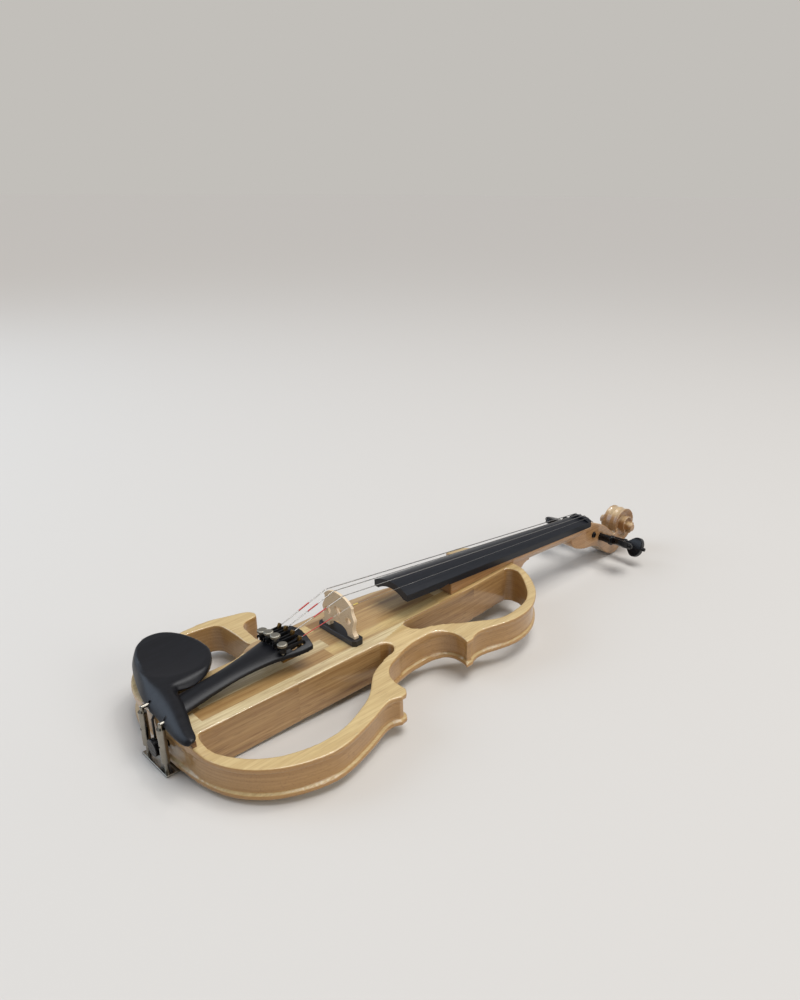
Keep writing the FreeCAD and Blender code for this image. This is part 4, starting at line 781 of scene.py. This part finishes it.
# %% Tailpiece
TAIL_CROWN = [(-154, 42.5), (-42, 56.6)]
TAIL_DEEP = [(-154, 7.0), (-42, 4.0)]
TAIL_HALF = [(-154, 10.9), (-144, 10.3), (-108, 9.5), (-88, 11.1), (-68, 15), (-51, 19.4),
             (-42, 20)]
TAIL_ROUND = [(-154, 0.85), (-100, 0.92), (-74, 0.6), (-56, 0.25), (-42, 0.2)]
CROWN_DIAMETER = 92
tailpiece = evened(to_object("tailpiece_dressed", copy_of("tailpiece"), STAINED), 0.55, 1)
for v in tailpiece.data.vertices:
    x, y, z = v.co / MM
    crown = follow(y, TAIL_CROWN) - x * x / CROWN_DIAMETER
    middle = crown - follow(y, TAIL_DEEP) / 2
    share = min(abs(x) / follow(y, TAIL_HALF), 1)
    v.co.z = (middle + (z - middle) * math.sqrt(1 - follow(y, TAIL_ROUND) * share ** 2)) * MM
relaxed(tailpiece, 3)
settle(tailpiece, "violin", "black_wood", "tailpiece")

# %% [markdown]
# A fine tuner's screw has a coin-like head with a knurled rim. Every second point of its rim is
# drawn in, and its top is raised by two insets. The stem is a rod that runs up into the head.

# %% Tuner screws
KNURLS, KNURL_DEPTH = 30, 0.93
HEAD_HIGH, HEAD_DOWN, HEAD_INSET = 1.7 * MM, 2.25 * MM, 0.6 * MM
STEM_RADIUS, STEM_DOWN = 1.3 * MM, 1.2 * MM
for name in STRING_NAMES:
    node = "tuner_screw_" + name
    low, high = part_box(node)
    centre = AXIS_PLACE[node]
    head = (high.x - low.x) / 2
    bm = bmesh.new()
    bmesh.ops.create_circle(bm, cap_ends=True, segments=2 * KNURLS, radius=head)
    for number, v in enumerate(bm.verts):
        v.co *= 1.0 if number % 2 else KNURL_DEPTH
    grown = bmesh.ops.extrude_face_region(bm, geom=bm.faces[:])["geom"]
    bmesh.ops.translate(bm, vec=(0, 0, HEAD_HIGH),
                        verts=[v for v in grown if isinstance(v, bmesh.types.BMVert)])
    cap = next(f for f in grown if isinstance(f, bmesh.types.BMFace))
    for depth in (0.35, 0.15):
        bmesh.ops.inset_region(bm, faces=[cap], thickness=HEAD_INSET, depth=depth * MM)
    bmesh.ops.translate(bm, vec=(centre.x, centre.y, high.z - HEAD_DOWN), verts=bm.verts)
    stem_high = high.z - STEM_DOWN - low.z
    stem_middle = Matrix.Translation((centre.x, centre.y, low.z + stem_high / 2))
    bmesh.ops.create_cone(bm, cap_ends=True, segments=24, radius1=STEM_RADIUS,
                          radius2=STEM_RADIUS, depth=stem_high, matrix=stem_middle)
    bmesh.ops.recalc_face_normals(bm, faces=bm.faces)
    screw = soften(to_object(node + "_dressed", bm, SATIN_NICKEL), 0.12, 2)
    settle(screw, node, "nickel", node)

# %% [markdown]
# The clamp's rods bend into the chin rest. Its edge is carved lower than the solid's, so the
# bends come down with it.

# %% Clamp rods
BEND_FROM, BEND_DROP = 42.0, 3.8
rods = copy_of("clamp_rods")
for v in rods.verts:
    if v.co.z > BEND_FROM * MM:
        v.co.z -= BEND_DROP * MM
rods = soften(to_object("clamp_rods_dressed", rods, NICKEL), 0.2)
settle(rods, "violin", "nickel", "clamp_rods")

# %% [markdown]
# The rest of the solids that need only rounded edges and a finish go through one list: the node,
# its body, slot, material and the width of its rounding.

# %% Pieces that follow their solids
FOLLOWING = [
    ("fingerboard", "violin", "black_wood", EBONY_WITH_PAINTED_SHEEN, 0.7),
    ("nut", "violin", "black_wood", EBONY_WITH_PAINTED_SHEEN, 0.3),
    ("bridge", "violin", "bare_maple", BARE_MAPLE, 0.3),
    ("pickup_bar", "violin", "black_plastic", ABS_BLACK, 0.4),
    ("chin_rest_cork", "violin", "cork", CORK, 0.2),
    ("saddle", "violin", "black_wood", EBONY_WITH_PAINTED_SHEEN, 0.5),
    ("end_button", "violin", "black_wood", PEG_EBONY, 0.8),
    ("tail_gut", "violin", "black_plastic", NYLON, 0),
    ("clamp_foot", "violin", "nickel", NICKEL, 0.3),
    ("clamp_foot_cork", "violin", "cork", CORK, 0.2),
    ("clamp_barrel_bass", "clamp_barrel_bass", "nickel", NICKEL, 0.4),
    ("clamp_barrel_treble", "clamp_barrel_treble", "nickel", NICKEL, 0.4),
    ("control_plate", "violin", "black_plastic", ABS_BLACK, 0.4),
    ("control_plate_screws", "violin", "nickel", NICKEL, 0.3),
    ("output_jack", "violin", "nickel", NICKEL, 0.3),
    ("headphone_jack", "violin", "nickel", NICKEL, 0.3),
    ("volume_knob", "volume_knob", "black_plastic", ABS_BLACK, 0.5),
    ("tone_knob", "tone_knob", "black_plastic", ABS_BLACK, 0.5),
    ("battery_cover", "violin", "black_plastic", ABS_BLACK, 0.4),
]
for name in STRING_NAMES:
    FOLLOWING.append(("tuner_frame_" + name, "violin", "black_metal", BLACK_STEEL, 0.2))
    FOLLOWING.append(("tuner_lever_" + name, "tuner_lever_" + name, "brass", BRASS, 0.2))
for node, body, finish, material, width in FOLLOWING:
    piece = to_object(node + "_dressed", copy_of(node), material)
    if width:
        soften(piece, width)
    settle(piece, body, finish, node)

# %% [markdown]
# What lies inside, and what is already right, keeps its CAD mesh and gets a real finish.

# %% Finishes on kept solids
KEPT = {
    "string_silk": RED_SILK, "e_string_sleeve": PALE_PLASTIC, "pickup_lead": NYLON,
    "control_pots": NICKEL, "preamp_board": BOARD_GREEN, "battery": CELL_CASE,
    "battery_cover_screws": NICKEL,
}
for name in STRING_NAMES:
    KEPT["string_" + name] = STRING_STEEL
for node, material in KEPT.items():
    mesh = frame["nodes"][node].data
    mesh.materials.clear()
    mesh.materials.append(material)
print("kept", len(KEPT), "solids with a finish of their own")
